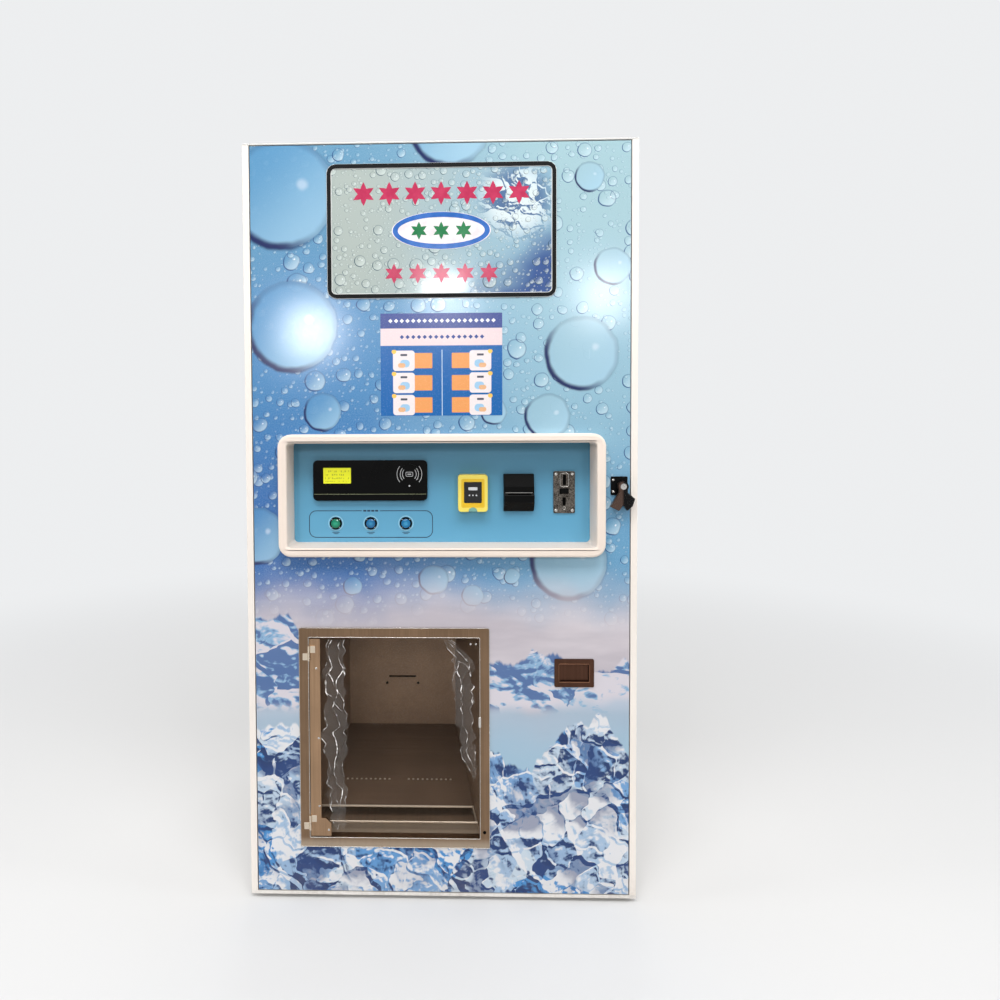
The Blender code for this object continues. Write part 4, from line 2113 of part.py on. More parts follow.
def make_electrics():
    """Control box on the right wall, water fittings and power inlet sunk in the rear panel."""
    front = at(CONTROL_BOX_FRONT_DEPTH)
    middle_z = up(CONTROL_BOX_UP_SHARE)
    control = box(
        "control_box",
        (INSIDE - CONTROL_BOX_WIDTH, front, middle_z - CONTROL_BOX_HEIGHT / 2),
        (INSIDE, front + CONTROL_BOX_DEPTH, middle_z + CONTROL_BOX_HEIGHT / 2),
        "grey_paint",
    )
    round_edges(control, CONTROL_BOX_ROUND, 1)
    manifold_place, inlet_place = rear_cut_outs()
    manifold = sunk_cup("water_manifold", *manifold_place, MANIFOLD_DEPTH, MANIFOLD_WALL, "bright_steel")
    x, z = manifold_place[:2]
    middle = REAR_Y - MANIFOLD_DEPTH / 2
    nipples = []
    bores = []
    for side in (-1, 1):
        place = (x + side * NIPPLE_SPACING / 2, middle, z)
        length = MANIFOLD_DEPTH - 2 * MANIFOLD_WALL
        nipples.append(cylinder("nipple", place, NIPPLE_RADIUS, length, "-y", "bright_steel"))
        bores.append(cylinder("bore", place, NIPPLE_BORE, 2 * MANIFOLD_DEPTH, "-y", "bright_steel"))
    fuse(manifold, *nipples)
    cut(manifold, *bores)
    inlet = sunk_cup("power_inlet", *inlet_place, INLET_DEPTH, INLET_WALL, "black_plastic")
    x, z = inlet_place[:2]
    pins = []
    for side in (-1, 0, 1):
        pin_z = z + (1 - abs(side)) * INLET_PIN_WIDTH
        pins.append(
            centred_box(
                "pin",
                (x + side * INLET_PIN_SPACING, REAR_Y - INLET_DEPTH / 2, pin_z),
                (INLET_PIN_WIDTH / 2, INLET_DEPTH - INLET_WALL, INLET_PIN_WIDTH),
                "black_plastic",
            )
        )
    fuse(inlet, *pins)


def sunk_cup(name, x, z, width, height, depth, wall, material):
    """A box set flush into the rear panel and open to the rear."""
    cup = box(
        name,
        (x - width / 2, REAR_Y - depth, z - height / 2),
        (x + width / 2, REAR_Y, z + height / 2),
        material,
    )
    recess = box(
        "recess",
        (x - width / 2 + wall, REAR_Y - depth + wall, z - height / 2 + wall),
        (x + width / 2 - wall, REAR_Y + CUT_OVERRUN, z + height / 2 - wall),
        material,
    )
    return cut(cup, recess)


def make_machine():
    clear_scene()
    make_base()
    make_roof()
    make_posts()
    make_side_panel("side_panel_left", -1)
    make_side_panel("side_panel_right", 1)
    make_rear_panel()
    make_door_pins()
    make_door_frame()
    make_door_skin()
    make_door_seal()
    make_window()
    make_control_surround()
    make_fascia()
    make_reader()
    make_buttons()
    make_terminal()
    make_bill_acceptor()
    make_coin_unit()
    make_coin_return()
    make_lock()
    make_bay_flange()
    make_bay_liner()
    make_bay_floor()
    make_door_film(make_bay_door())
    make_shelf()
    make_ice_maker()
    make_bin()
    make_auger()
    make_chute()
    make_compressor()
    make_condenser()
    make_shroud()
    make_fan()
    make_electrics()


make_machine()
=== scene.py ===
# %% [markdown]
# # An outdoor ice vending machine, dressed for its portrait
#
# The real machine is a tall steel cabinet. Its whole front is one hinged door, covered
# by a glossy printed vinyl, with a lit sign, a recessed payment panel and a steel bay
# where the ice drops. The solids come ready made, in metres, as a fixed frame. This
# lesson gives each of them the finish of the real thing, and adds what is too thin or
# too small for a solid: printed marks, beads, screw heads and crumpled film.

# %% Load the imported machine
import json
import math

import bmesh
import bpy
import numpy as np
from mathutils import Matrix, Vector


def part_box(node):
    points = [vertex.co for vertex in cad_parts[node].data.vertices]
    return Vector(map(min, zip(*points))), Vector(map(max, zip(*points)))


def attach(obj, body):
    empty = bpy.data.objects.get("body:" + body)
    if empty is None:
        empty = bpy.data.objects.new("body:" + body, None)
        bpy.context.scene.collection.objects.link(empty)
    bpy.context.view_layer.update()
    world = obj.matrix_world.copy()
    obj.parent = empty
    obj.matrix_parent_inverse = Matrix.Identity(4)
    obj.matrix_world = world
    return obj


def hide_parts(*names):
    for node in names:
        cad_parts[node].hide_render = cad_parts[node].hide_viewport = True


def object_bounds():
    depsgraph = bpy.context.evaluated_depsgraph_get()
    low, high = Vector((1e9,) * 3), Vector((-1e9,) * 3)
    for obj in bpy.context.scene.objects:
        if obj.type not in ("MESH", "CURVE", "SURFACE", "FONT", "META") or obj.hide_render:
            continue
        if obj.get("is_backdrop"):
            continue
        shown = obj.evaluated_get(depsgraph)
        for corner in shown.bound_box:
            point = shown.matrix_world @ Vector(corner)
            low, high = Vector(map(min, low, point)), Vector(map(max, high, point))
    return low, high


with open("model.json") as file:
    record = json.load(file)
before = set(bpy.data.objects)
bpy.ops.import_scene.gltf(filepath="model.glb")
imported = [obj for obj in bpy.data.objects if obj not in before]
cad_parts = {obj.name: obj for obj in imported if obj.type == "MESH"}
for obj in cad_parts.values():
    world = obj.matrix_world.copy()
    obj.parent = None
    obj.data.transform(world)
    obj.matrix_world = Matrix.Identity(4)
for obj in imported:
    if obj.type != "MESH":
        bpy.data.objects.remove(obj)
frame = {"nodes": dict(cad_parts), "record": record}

nodes = frame["nodes"]
cad_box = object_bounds()
print("solids loaded:", len(nodes), "box:", [tuple(round(v, 4) for v in c) for c in cad_box])

# %% [markdown]
# Paint makers give colours as the eye sees them, but a shader adds up light. The first
# helper turns a colour as seen into an amount of light. The third reads a solid's box,
# because each added piece takes its place from the solid that carries it.

# %% Colours and places
def ink(red, green, blue):
    """A colour as seen, each share from 0 to 1, turned into amounts of light by the standard curve."""
    seen = np.array([red, green, blue], float)
    light = np.where(seen <= 0.04045, seen / 12.92, ((seen + 0.055) / 1.055) ** 2.4)
    return (*[float(v) for v in light], 1.0)


def shade(colour, factor, lift=0.0):
    """A lighter or darker kind of a colour: each share times the factor, plus the lift."""
    return tuple(min(1.0, c * factor + lift) for c in colour[:3]) + (1.0,)


def place_of(solid):
    """The middle, the size, the lowest and the highest corner of a solid."""
    low, high = (np.array(corner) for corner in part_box(solid))
    return (low + high) / 2, high - low, low, high


window_mid = place_of("window_panel")[0]
bay_mid, bay_size, _, _ = place_of("bay_flange")
print("sign window at", window_mid.round(3), "bay frame:", bay_size.round(3))

# %% [markdown]
# A finish is a small network of shader nodes. Each could be joined up by hand in the
# editor. Here the output of a node takes part in sums like a number, and each sign or
# method adds one node, so a pattern reads like the formula it is.

# %% A short way to write node networks
class Out:
    """The output of a node. It can be added, compared, mixed or read as a place by the next node."""

    def __init__(self, socket):
        """Remembers the socket, its network, and whether it holds more than a single number."""
        self.socket, self.tree, self.wide = socket, socket.id_data, socket.type != "VALUE"

    def __mul__(self, other):
        """A product. A vector times a single number keeps its direction."""
        if self.wide and not (isinstance(other, tuple) or getattr(other, "wide", False)):
            return Out(node(self.tree, "VectorMath", (self, other), (0, "Scale"), operation="SCALE").outputs[0])
        return calc("MULTIPLY", self, other)

    def step(self, low, high, start=0.0, end=1.0):
        """Goes smoothly from start to end as the value goes from low to high."""
        values = (self, low, high, start, end)
        return Out(node(self.tree, "MapRange", values, interpolation_type="SMOOTHSTEP").outputs[0])

    def mix(self, first, second, kind="RGBA", sockets=(0, 6, 7), out=2):
        """A colour that goes from the first to the second as this share goes from 0 to 1."""
        return Out(node(self.tree, "Mix", (self, first, second), sockets, data_type=kind).outputs[out])

    def noise(self, scale, detail=2.0, roughness=0.5, out=0, **settings):
        """Cloudy noise read at this place: smaller clouds for a larger scale, finer ones added for each detail."""
        values, sockets = (self, scale, detail, roughness), ("Vector", "Scale", "Detail", "Roughness")
        return Out(node(self.tree, "TexNoise", values, sockets, **settings).outputs[out])

    def cells(self, scale, randomness=1.0, **settings):
        """Cells of a flat pattern, each with its own colour and middle, given as outputs by name."""
        values, sockets = (self, scale, randomness), ("Vector", "Scale", "Randomness")
        made = node(self.tree, "TexVoronoi", values, sockets, voronoi_dimensions="2D", **settings)
        return {socket.name: Out(socket) for socket in made.outputs}

    def split(self):
        """Its share across, its share in depth and its share upwards."""
        return [Out(socket) for socket in node(self.tree, "SeparateXYZ", [self]).outputs]


print("outputs can be reckoned with")

# %% [markdown]
# An output does nothing alone. A node has to be added, set up and joined to others. One
# helper does that for every kind of node, and a second one for sums.

# %% Adding and joining nodes
def feed(socket, value):
    """Joins an output to a socket, or writes a plain value into it."""
    if isinstance(value, Out):
        socket.id_data.links.new(value.socket, socket)
    else:
        socket.default_value = value


def node(tree, kind, values=(), sockets=None, **settings):
    """Adds one shader node, sets it up, and feeds the values into its first or its named inputs."""
    made = tree.nodes.new("ShaderNode" + kind)
    for name, value in settings.items():
        setattr(made, name, value)
    for socket, value in zip(made.inputs if sockets is None else [made.inputs[s] for s in sockets], values):
        feed(socket, value)
    return made


def known(values):
    """The first output among the values: it tells in which network they meet."""
    return next(value for value in values if isinstance(value, Out))


def calc(operation, *values):
    """One node of arithmetic, on vectors or on numbers, as the first output among the values is."""
    kind = "VectorMath" if known(values).wide else "Math"
    made = node(known(values).tree, kind, values, operation=operation)
    return Out(made.outputs[int(operation in ("LENGTH", "DISTANCE", "DOT_PRODUCT"))])


def joined(*numbers):
    """A vector from three numbers."""
    return Out(node(known(numbers).tree, "CombineXYZ", numbers).outputs[0])


def signs(operation):
    """The two orders in which an output meets a sign: before it, and behind a plain number."""
    return lambda *values: calc(operation, *values), lambda own, other: calc(operation, other, own)


Out.__add__, _ = signs("ADD")
Out.__sub__, Out.__rsub__ = signs("SUBTRACT")
Out.__truediv__, Out.__rtruediv__ = signs("DIVIDE")
Out.__mod__, _ = signs("MODULO")
Out.__lt__, _ = signs("LESS_THAN")
Out.__gt__, _ = signs("GREATER_THAN")
Out.__abs__, _ = signs("ABSOLUTE")


print("nodes can be placed")

# %% [markdown]
# A material starts as an empty network. Every finish here has the same start: one
# Principled shader, and the object's own coordinates in metres, so that a pattern can be
# placed as exactly as a solid.

# %% One finish
class Finish:
    """One material: a Principled shader, and the place on the object that its patterns read."""

    def __init__(self, name, **plain):
        """An empty network with a shader, to which the plain values go."""
        self.material = bpy.data.materials.new(name)
        self.material.use_nodes = True
        self.tree = self.material.node_tree
        self.tree.nodes.clear()
        self.shader = node(self.tree, "BsdfPrincipled")
        node(self.tree, "OutputMaterial", [Out(self.shader.outputs[0])])
        self.place = self.read("TexCoord", "Object")
        self.set(**plain)

    def read(self, kind, output, **settings):
        """One output of a node that has no inputs, such as the object's own coordinates."""
        return Out(node(self.tree, kind, **settings).outputs[output])

    def set(self, **sockets):
        """Feeds values into the shader's inputs by name."""
        for name, value in sockets.items():
            feed(self.shader.inputs[name.replace("_", " ")], value)

    def bump(self, height, depth):
        """Raises the surface by depth metres where the height is 1."""
        made = node(self.tree, "Bump", (1.0, depth, height), ("Strength", "Distance", "Height"))
        self.set(Normal=Out(made.outputs[0]))


print("a finish can be started")

# %% [markdown]
# A pattern that several finishes share is a node group: a network with named inputs and
# outputs, built once. It could be drawn in the editor. Here it is written as a function
# whose first values are the inputs, because a function is just that.

# %% Shared patterns as node groups
def node_group(formulas):
    """Makes a function of outputs into a node group. Its first values set up the group's inputs, and a call with
    real outputs places the group and gives back its outputs by name."""
    labels = formulas.__code__.co_varnames[:formulas.__code__.co_argcount]
    tree = bpy.data.node_groups.new(formulas.__name__, "ShaderNodeTree")
    for label, value in zip(labels, formulas.__defaults__):
        kind = "NodeSocketVector" if isinstance(value, tuple) else "NodeSocketFloat"
        tree.interface.new_socket(label, in_out="INPUT", socket_type=kind).default_value = value
    given = formulas(*[Out(socket) for socket in list(tree.nodes.new("NodeGroupInput").outputs)[:len(labels)]])
    for label in given:
        tree.interface.new_socket(label, in_out="OUTPUT", socket_type="NodeSocketFloat")
    outside = tree.nodes.new("NodeGroupOutput")
    for label, value in given.items():
        feed(outside.inputs[label], value)

    def placed(*values):
        """One use of the group, fed with these values in their order."""
        made = node(known(values).tree, "Group", (), node_tree=tree)
        for socket, value in zip(made.inputs, values):
            feed(socket, value)
        return {socket.name: Out(socket) for socket in made.outputs}

    return placed


print("network helpers ready")

# %% [markdown]
# Sheet metal is never quite even. Powder coat has a fine orange peel, a large panel
# varies a little in tone, dust and splashes gather near the ground, and hands and
# trolleys leave faint scuffs. These effects belong to several finishes, so each is one
# node group that puts out numbers, and each finish sets its own amounts.

# %% Shared effects of paint and weather
ORIGIN, HALVES = (0.0, 0.0, 0.0), (0.5, 0.5, 0.5)


@node_group
def coat_texture(Place=ORIGIN, Grain=400.0):
    """The height is a fine noise of the given scale, and the tone is wide clouds between two levels of noise."""
    return {"Height": Place.noise(Grain, 3.0, 0.55), "Tone": Place.noise(2.6, 4.0, 0.6).step(0.3, 0.7)}


@node_group
def weathering(Place=ORIGIN, Reach=0.35):
    """Dust gathers below the reach, runs are tall streaks, and scuffs are short upright scratches in patches."""
    speckle, patch = Place.noise(55.0, 6.0, 0.7), Place.noise(7.0, 4.0, 0.6)
    scratch = (Place * (210.0, 210.0, 23.0)).noise(1.0, 2.0, 0.4).step(0.72, 0.80)
    return {
        "Dust": Place.split()[2].step(Reach, 0.0) * (speckle * patch).step(0.12, 0.42),
        "Run": (Place * (42.0, 42.0, 1.1)).noise(1.0, 3.0, 0.6).step(0.56, 0.82),
        "Scuff": scratch * patch.step(0.5, 0.65),
    }


@node_group
def brushed_grain(Place=ORIGIN, Stretch=(900.0, 900.0, 9.0)):
    """Brush marks are noise drawn out along one axis. The tone adds wider marks and soft clouds."""
    drawn = Place * Stretch
    tone = (drawn * 0.28).noise(1.0, 3.0, 0.6) * 0.6 + Place.noise(9.0, 3.0, 0.5) * 0.4
    return {"Height": drawn.noise(1.0, 2.0, 0.6), "Tone": tone}


print("effects:", [g.name for g in bpy.data.node_groups])

# %% [markdown]
# Two masks depend on exact places: the rows of screws along a panel's edges, and boxes
# with rounded corners, from which prints and bright parts are laid out. Both come from
# distances, so their edges stay sharp at any size of picture.

# %% Masks for screws and boxes
@node_group
def flush_screws(Across=9.0, Up=9.0, Edge=ORIGIN, Pitch=(0.2, 0.2, 0.2)):
    """Screws in rows along the four edges of a panel: a sawtooth of the pitch measures the way to the next one."""
    edge_across, edge_up, _ = Edge.split()
    pitch_across, pitch_up, _ = Pitch.split()
    row_up = calc("PINGPONG", Up - edge_up, pitch_up * 0.5)
    row_across = calc("PINGPONG", Across - edge_across, pitch_across * 0.5)
    near_side = calc("LENGTH", joined(abs(abs(Across) - edge_across), row_up, 0.0))
    near_end = calc("LENGTH", joined(row_across, abs(abs(Up) - edge_up), 0.0))
    away = calc("MINIMUM", near_side, near_end)
    return {"Head": away.step(0.0052, 0.0046), "Rim": away.step(0.0074, 0.0062) * away.step(0.0044, 0.0054)}


@node_group
def printed_box(Place=ORIGIN, Middle=ORIGIN, Half=(0.1, 0.0, 0.1), Corner=0.005, Soft=0.0006):
    """1 inside a rounded box seen from the front: the distance to the box without its corners is at most Corner."""
    over = abs((Place - Middle) * (1.0, 0.0, 1.0)) - (Half - joined(Corner, 0.0, Corner))
    reach = calc("LENGTH", calc("MAXIMUM", over, ORIGIN))
    return {"Mask": (reach - Corner).step(Soft, 0.0)}


def box_mask(place, middle, size, corner=0.001, soft=0.0006):
    """The same box, given by its middle and its size."""
    half = (size[0] / 2, 0.0, size[1] / 2)
    return printed_box(place, (middle[0], 0.0, middle[1]), half, corner, soft)["Mask"]


print("groups:", [g.name for g in bpy.data.node_groups])

# %% [markdown]
# The vinyl on the door shows water drops. A drop is drawn from where a point lies in it:
# dark and thick at its shaded rim, light on the far side, with one small glint. That
# drawing is one group. A second group scatters it with a cell pattern. The radius of the
# largest circle that fits each cell keeps the drops from being cut by their neighbours.

# %% Drawing and scattering water drops
@node_group
def drop_shade(Offset=(9.0, 9.0, 0.0)):
    """Each part of a drop is a ring or a side, by the distance and direction from its middle in radii."""
    far = calc("LENGTH", Offset)
    body = far.step(1.02, 0.98)
    shaded = calc("DOT_PRODUCT", calc("NORMALIZE", Offset), (-0.76, -0.65, 0.0)).step(-0.05, 0.75)
    return {
        "Body": body,
        "Light": body * calc("DOT_PRODUCT", Offset, (0.55, -0.6, 0.0)).step(-0.7, 0.95),
        "Line": far.step(0.86, 0.985) * far.step(1.07, 1.0),
        "Shade": far.step(0.86, 0.98) * far.step(1.09, 1.01) * shaded,
        "Glint": calc("DISTANCE", Offset, (0.38, 0.16, 0.0)).step(0.15, 0.03),
    }


@node_group
def drop_field(Place=ORIGIN, Scale=30.0, Least=0.3, Share=0.6):
    """One drop in that share of the cells, from the least size up to the circle that fits."""
    nearest = Place.cells(Scale, 0.9)
    fitting = Place.cells(Scale, 0.9, feature="N_SPHERE_RADIUS")["Radius"]
    chance = nearest["Color"].split()
    radius = fitting * ((chance[0] * (0.92 - Least) + Least) * (chance[1] < Share))
    return drop_shade((Place - nearest["Position"]) * Scale * (1.0 / calc("MAXIMUM", radius, 0.001)))


def paint_drops(colour, drops, pale, deep, strength=1.0, glint=0.9, line=0.50):
    """The colour under the drops, lightened in their lit part and darkened at the line and the shaded rim."""
    white = ink(0.97, 0.98, 1.0)
    parts = (("Light", 0.62, pale), ("Line", line, deep), ("Shade", 0.95, deep), ("Glint", glint, white))
    for part, share, tint in parts:
        colour = (drops[part] * (share * strength)).mix(colour, tint)
    return colour


print("parts of a drop: Body, Light, Line, Shade, Glint")

# %% [markdown]
# The foot of the door shows a bank of broken ice. Rubble looks real when every face is
# lit from one side, so the ice is first a height map: sharp ridges, cell shaped blocks
# and fine crumbs added up. Its brightness is the difference between the height here and
# a small step towards the lamp, as in an embossed picture.

# %% Broken ice, lit like a relief
RIDGED = {"noise_type": "RIDGED_MULTIFRACTAL"}


@node_group
def ice_height(Place=ORIGIN, Scale=12.0):
    """Ridges, plus blocks that slope each its own way, plus crumbs, all read at a place pushed about by noise."""
    warped = Place + (Place.noise(8.0, 3.0, 0.5, out=1) - HALVES) * 0.15
    blocks = warped.cells(Scale)
    slope = calc("DOT_PRODUCT", (warped - blocks["Position"]) * Scale, blocks["Color"] - HALVES)
    ridges, crumbs = warped.noise(Scale * 0.45, 4.0, 0.5, **RIDGED), warped.noise(Scale * 1.8, 4.0, 0.55)
    return {"Height": ridges * 0.45 + (slope * 1.9 + crumbs * 0.55)}


@node_group
def ice_relief(Place=ORIGIN, Scale=12.0, Step=0.006):
    """Lit is the fall of the height over one step towards the lamp, and Deep marks the hollows."""
    here = ice_height(Place, Scale)["Height"]
    there = ice_height(Place + joined(Step * 0.55, Step, 0.0), Scale)["Height"]
    return {"Lit": ((here - there) / (Step * Scale)).step(-1.5, 1.6), "Deep": here.step(0.42, 0.10)}


print("groups:", [g.name for g in bpy.data.node_groups])

# %% [markdown]
# The posts, sides, roof and back are folded steel sheet with a white powder coat. The
# coat is semi-gloss with a fine peel. It is a little warm where it has aged, dusty near
# the ground, and carries faint runs and scuffs. The inner frames get the same coat in
# grey, with more dust. The outer panels are held by flush screws, which the coat draws.

# %% White and grey powder coat
DUST = ink(0.55, 0.50, 0.44)
WHITE = ink(0.945, 0.925, 0.90)


def powder_coat(name, colour, dust, reach, roughness, screws=None):
    """A painted sheet: tone drifts over the panel, dirt gathers low and in runs, the peel is a bump. The screws
    are given by a panel, its two axes, the distances of the rows from its edges, and their pitches."""
    coat = Finish(name, IOR=1.5)
    look = coat_texture(coat.place, 520.0)
    worn = weathering(coat.place, reach)
    base = (look["Tone"] * 0.35).mix(colour, shade(colour, 0.93))
    for effect, share in (("Dust", dust), ("Run", 0.10 * dust + 0.02), ("Scuff", 0.25)):
        base = (worn[effect] * share).mix(base, DUST)
    rough = worn["Dust"] * 0.25 + (look["Tone"] * 0.08 + roughness)
    raised = look["Height"]
    if screws:
        panel, axes, inset, pitch = screws
        middle, size, _, _ = place_of(panel)
        along = (coat.place - tuple(middle)).split()
        edge = tuple(size[axis] / 2 - gap for axis, gap in zip(axes, inset))
        held = flush_screws(along[axes[0]], along[axes[1]], (*edge, 0.0), (*pitch, 0.1))
        base = (held["Rim"] * 0.75).mix(base, ink(0.36, 0.35, 0.34))
        base = (held["Head"] * 0.65).mix(base, ink(0.70, 0.70, 0.69))
        rough = held["Head"] * -0.08 + rough
        raised = held["Head"] * 2.0 + raised
    coat.set(Base_Color=base, Roughness=rough)
    coat.bump(raised, 0.00008)
    return coat


SIDE_SCREWS = ("side_panel_left", (1, 2), (0.018, 0.030), (0.2310, 0.2986))
REAR_SCREWS = ("rear_panel", (0, 2), (0.020, 0.030), (0.2650, 0.2986))
ROOF_SCREWS = ("top_panel", (0, 1), (0.020, 0.020), (0.2650, 0.2610))
white_coat = powder_coat("white_powder_coat", WHITE, 0.35, 0.22, 0.34)
side_coat = powder_coat("side_powder_coat", WHITE, 0.35, 0.22, 0.34, SIDE_SCREWS)
rear_coat = powder_coat("rear_powder_coat", WHITE, 0.35, 0.22, 0.34, REAR_SCREWS)
# Painted shade: the roof's white is painted darker, against the stronger light that falls on top.
roof_coat = powder_coat("roof_powder_coat", ink(0.86, 0.855, 0.84), 0.35, 0.22, 0.42, ROOF_SCREWS)
post_coat = powder_coat("post_powder_coat", ink(0.97, 0.935, 0.90), 0.25, 0.12, 0.30)
grey_coat = powder_coat("grey_frame_coat", ink(0.60, 0.62, 0.64), 0.6, 0.5, 0.45)
print("coats:", [m.name for m in bpy.data.materials if "coat" in m.name])

# %% [markdown]
# Plastics differ by mould and by age. The surround of the payment panel is thick off
# white plastic, a little warm in tone. The payment units are black with a spark eroded
# grain. The rubber is dull and dusty. One recipe serves them all, and the inks printed
# on them too: a fine grain bump and a slow change of gloss, as left by hands.

# %% Moulded plastics, rubber and printed ink
def moulded(name, colour, roughness, grain=900.0, depth=0.00004, handled=0.12, dusty=0.04, sheen=0.5):
    """A moulded plastic: a fine grain, patches polished by hands, and a little dust."""
    made = Finish(name, IOR=1.48, Specular_IOR_Level=sheen)
    look = coat_texture(made.place, grain)
    touched = made.place.noise(16.0, 3.0, 0.6).step(0.35, 0.7)
    specks = made.place.noise(260.0, 3.0, 0.7).step(0.58, 0.75)
    base = (look["Tone"] * 0.5).mix(colour, shade(colour, 1.12, 0.002))
    made.set(Base_Color=(specks * dusty).mix(base, DUST), Roughness=touched * -handled + (roughness + handled / 2))
    made.bump(look["Height"], depth)
    return made


def printed(name, colour, roughness):
    """An ink: like a plastic, but all its marks are finer."""
    return moulded(name, colour, roughness, 1800.0, 0.00001, 0.02, 0.02)


surround = moulded("surround_plastic", ink(0.935, 0.875, 0.825), 0.40, 300.0, 0.00003, 0.06, 0.01, 0.3)
black = moulded("black_unit_plastic", ink(0.012, 0.013, 0.014), 0.28, 1400.0, 0.00004, 0.06, 0.008, 0.10)
yellow = moulded("yellow_unit_plastic", ink(0.93, 0.80, 0.22), 0.36, 1100.0)
rubber = moulded("seal_rubber", ink(0.035, 0.035, 0.04), 0.50, 700.0, 0.00005, 0.05, 0.05, 0.15)
bead_white = moulded("white_bead_plastic", ink(0.93, 0.93, 0.92), 0.30, 900.0, 0.00003, 0.08, 0.05)
face_black = moulded("terminal_face_black", ink(0.045, 0.045, 0.05), 0.22, 1500.0, 0.00001, 0.05, 0.05)
# A painted highlight: the olive line along the card reader's lower lip.
olive = moulded("olive_trim_line", ink(0.42, 0.44, 0.33), 0.40, 1500.0, 0.00001, 0.04, 0.02)
pale_ink = printed("pale_print_ink", ink(0.80, 0.81, 0.82), 0.5)
line_ink = printed("dark_print_ink", ink(0.10, 0.20, 0.30), 0.45)
halo_ink = printed("halo_print_blue", ink(0.58, 0.80, 0.90), 0.40)

terminal_mid, _, terminal_low, _ = place_of("card_terminal")
face_frame = box_mask(yellow.place, (terminal_mid[0], terminal_mid[2]), (0.066, 0.082), 0.004)
body_colour = face_frame.mix(ink(0.95, 0.87, 0.40), ink(0.90, 0.74, 0.14))
card_slot = (terminal_mid[0], terminal_low[1] + 0.006, terminal_low[2] + 0.002)
in_slot = calc("DISTANCE", yellow.place, card_slot).step(0.0145, 0.0125)
behind_face = yellow.place.split()[1].step(terminal_low[1] + 0.0005, terminal_low[1] + 0.0015)
yellow.set(Base_Color=(in_slot * behind_face).mix(body_colour, ink(0.62, 0.85, 0.82)))
print("plastics made:", len([m for m in bpy.data.materials if "plastic" in m.name]))

# %% [markdown]
# The bay is brushed stainless steel. Its brush marks run along each strip, so light
# spreads across them. Indoors it mirrors warm surroundings, which is why it looks
# brown. A metal shader with a warm base, a painted reflection, a stretched noise as bump
# and as gloss, and a few water spots gives that. The screws and hinge leaves are brighter
# steel. The rods and the rims of the drain holes carry painted highlights, the lip of the
# bay's floor painted light, and the frame's foot a painted reflection.

# %% Brushed, bright and cast metals
FRAME_FACE, FLOOR_EDGE = -0.5108, -0.4075
HINGE_X, HINGE_HEIGHTS, LEAF = -0.3761, (0.226, 0.715), (0.038, 0.044)
HOLE_PITCH, HOLES_START, HOLES_LENGTH, HOLES_BACK = 0.0145, 0.030, 0.145, FLOOR_EDGE + 0.0945


def brushed(name, colour, roughness, stretch, spots=0.25, bright_part=None, metallic=1.0):
    """A brushed metal: stretched noise sets bump, tone and gloss, and dried drops dull it in spots. The part that
    the given function picks out is brighter: brighter steel for hinge leaves, painted highlights on rods and drain
    holes, painted light on a lip, and a painted reflection on a frame's foot."""
    made = Finish(name, Metallic=metallic)
    grain = brushed_grain(made.place, stretch)
    spot = made.place.noise(95.0, 2.0, 0.5).step(0.64, 0.70)
    base = grain["Tone"].step(0.3, 0.75).mix(shade(colour, 0.70), colour)
    base = (spot * spots).mix(base, shade(colour, 0.8))
    rough = grain["Tone"] * 0.22 + (roughness - 0.10)
    if bright_part:
        picked = bright_part(made)
        # Brighter steel for hinge leaves; painted highlights, painted light and a painted reflection for the other
        # picked parts.
        base = picked.mix(base, ink(0.84, 0.78, 0.70))
        rough = picked * -0.12 + rough
    made.set(Base_Color=base, Roughness=spot * 0.12 + rough)
    made.bump(grain["Height"], 0.00003)
    return made


def hinge_leaves(made):
    """The two small hinges, which stand proud of the bay's frame, and the frame's foot, painted brighter as a
    painted reflection.
    """
    leaves = calc("MAXIMUM", *[box_mask(made.place, (HINGE_X, z), LEAF) for z in HINGE_HEIGHTS])
    _, depth, up = made.place.split()
    leaves = leaves * depth.step(FRAME_FACE - 0.0003, FRAME_FACE - 0.0008)
    # The frame's foot is a painted reflection, brighter towards the bottom.
    return calc("MAXIMUM", leaves, up.step(0.186, 0.160, 0.0, 0.45))


def guard_rods(made):
    """Painted highlights: a bright line on the two rods in front of the bay's floor, and bright rims round its two
    rows of drain holes, where light shows through.
    """
    across, depth, _ = made.place.split()
    # Painted highlight: the rods in front of the floor are painted bright.
    rods = depth.step(FLOOR_EDGE + 0.0036, FLOOR_EDGE + 0.0030) * 0.6
    along_row = abs(across - bay_mid[0]) - (HOLES_START - HOLE_PITCH / 2)
    beside = abs(along_row % HOLE_PITCH - HOLE_PITCH / 2)
    # Painted highlights round the rims of the drain holes.
    rim = calc("MAXIMUM", beside, abs(depth - HOLES_BACK)).step(0.0030, 0.0025)
    return calc("MAXIMUM", rods, rim * ((along_row > 0.0) * (along_row < HOLES_LENGTH)))


def front_lip(made):
    """The strip of the bay's sheet in front of its floor, painted brighter as painted light from the street, and
    the sheet's outside, where the normal points away from the middle of the bay, which is lighter."""
    _, depth, up = made.place.split()
    # Painted light on the strip in front of the floor.
    lip = up.step(0.206, 0.196) * depth.step(FLOOR_EDGE, -0.46) * 0.45
    from_middle = made.place - (bay_mid[0], -0.30, bay_mid[2])
    outward = calc("DOT_PRODUCT", made.read("TexCoord", "Normal"), from_middle)
    return calc("MAXIMUM", lip, (outward > 0.0) * 0.75)


print("hinge leaves at heights", HINGE_HEIGHTS, "holes at y", round(HOLES_BACK, 4))
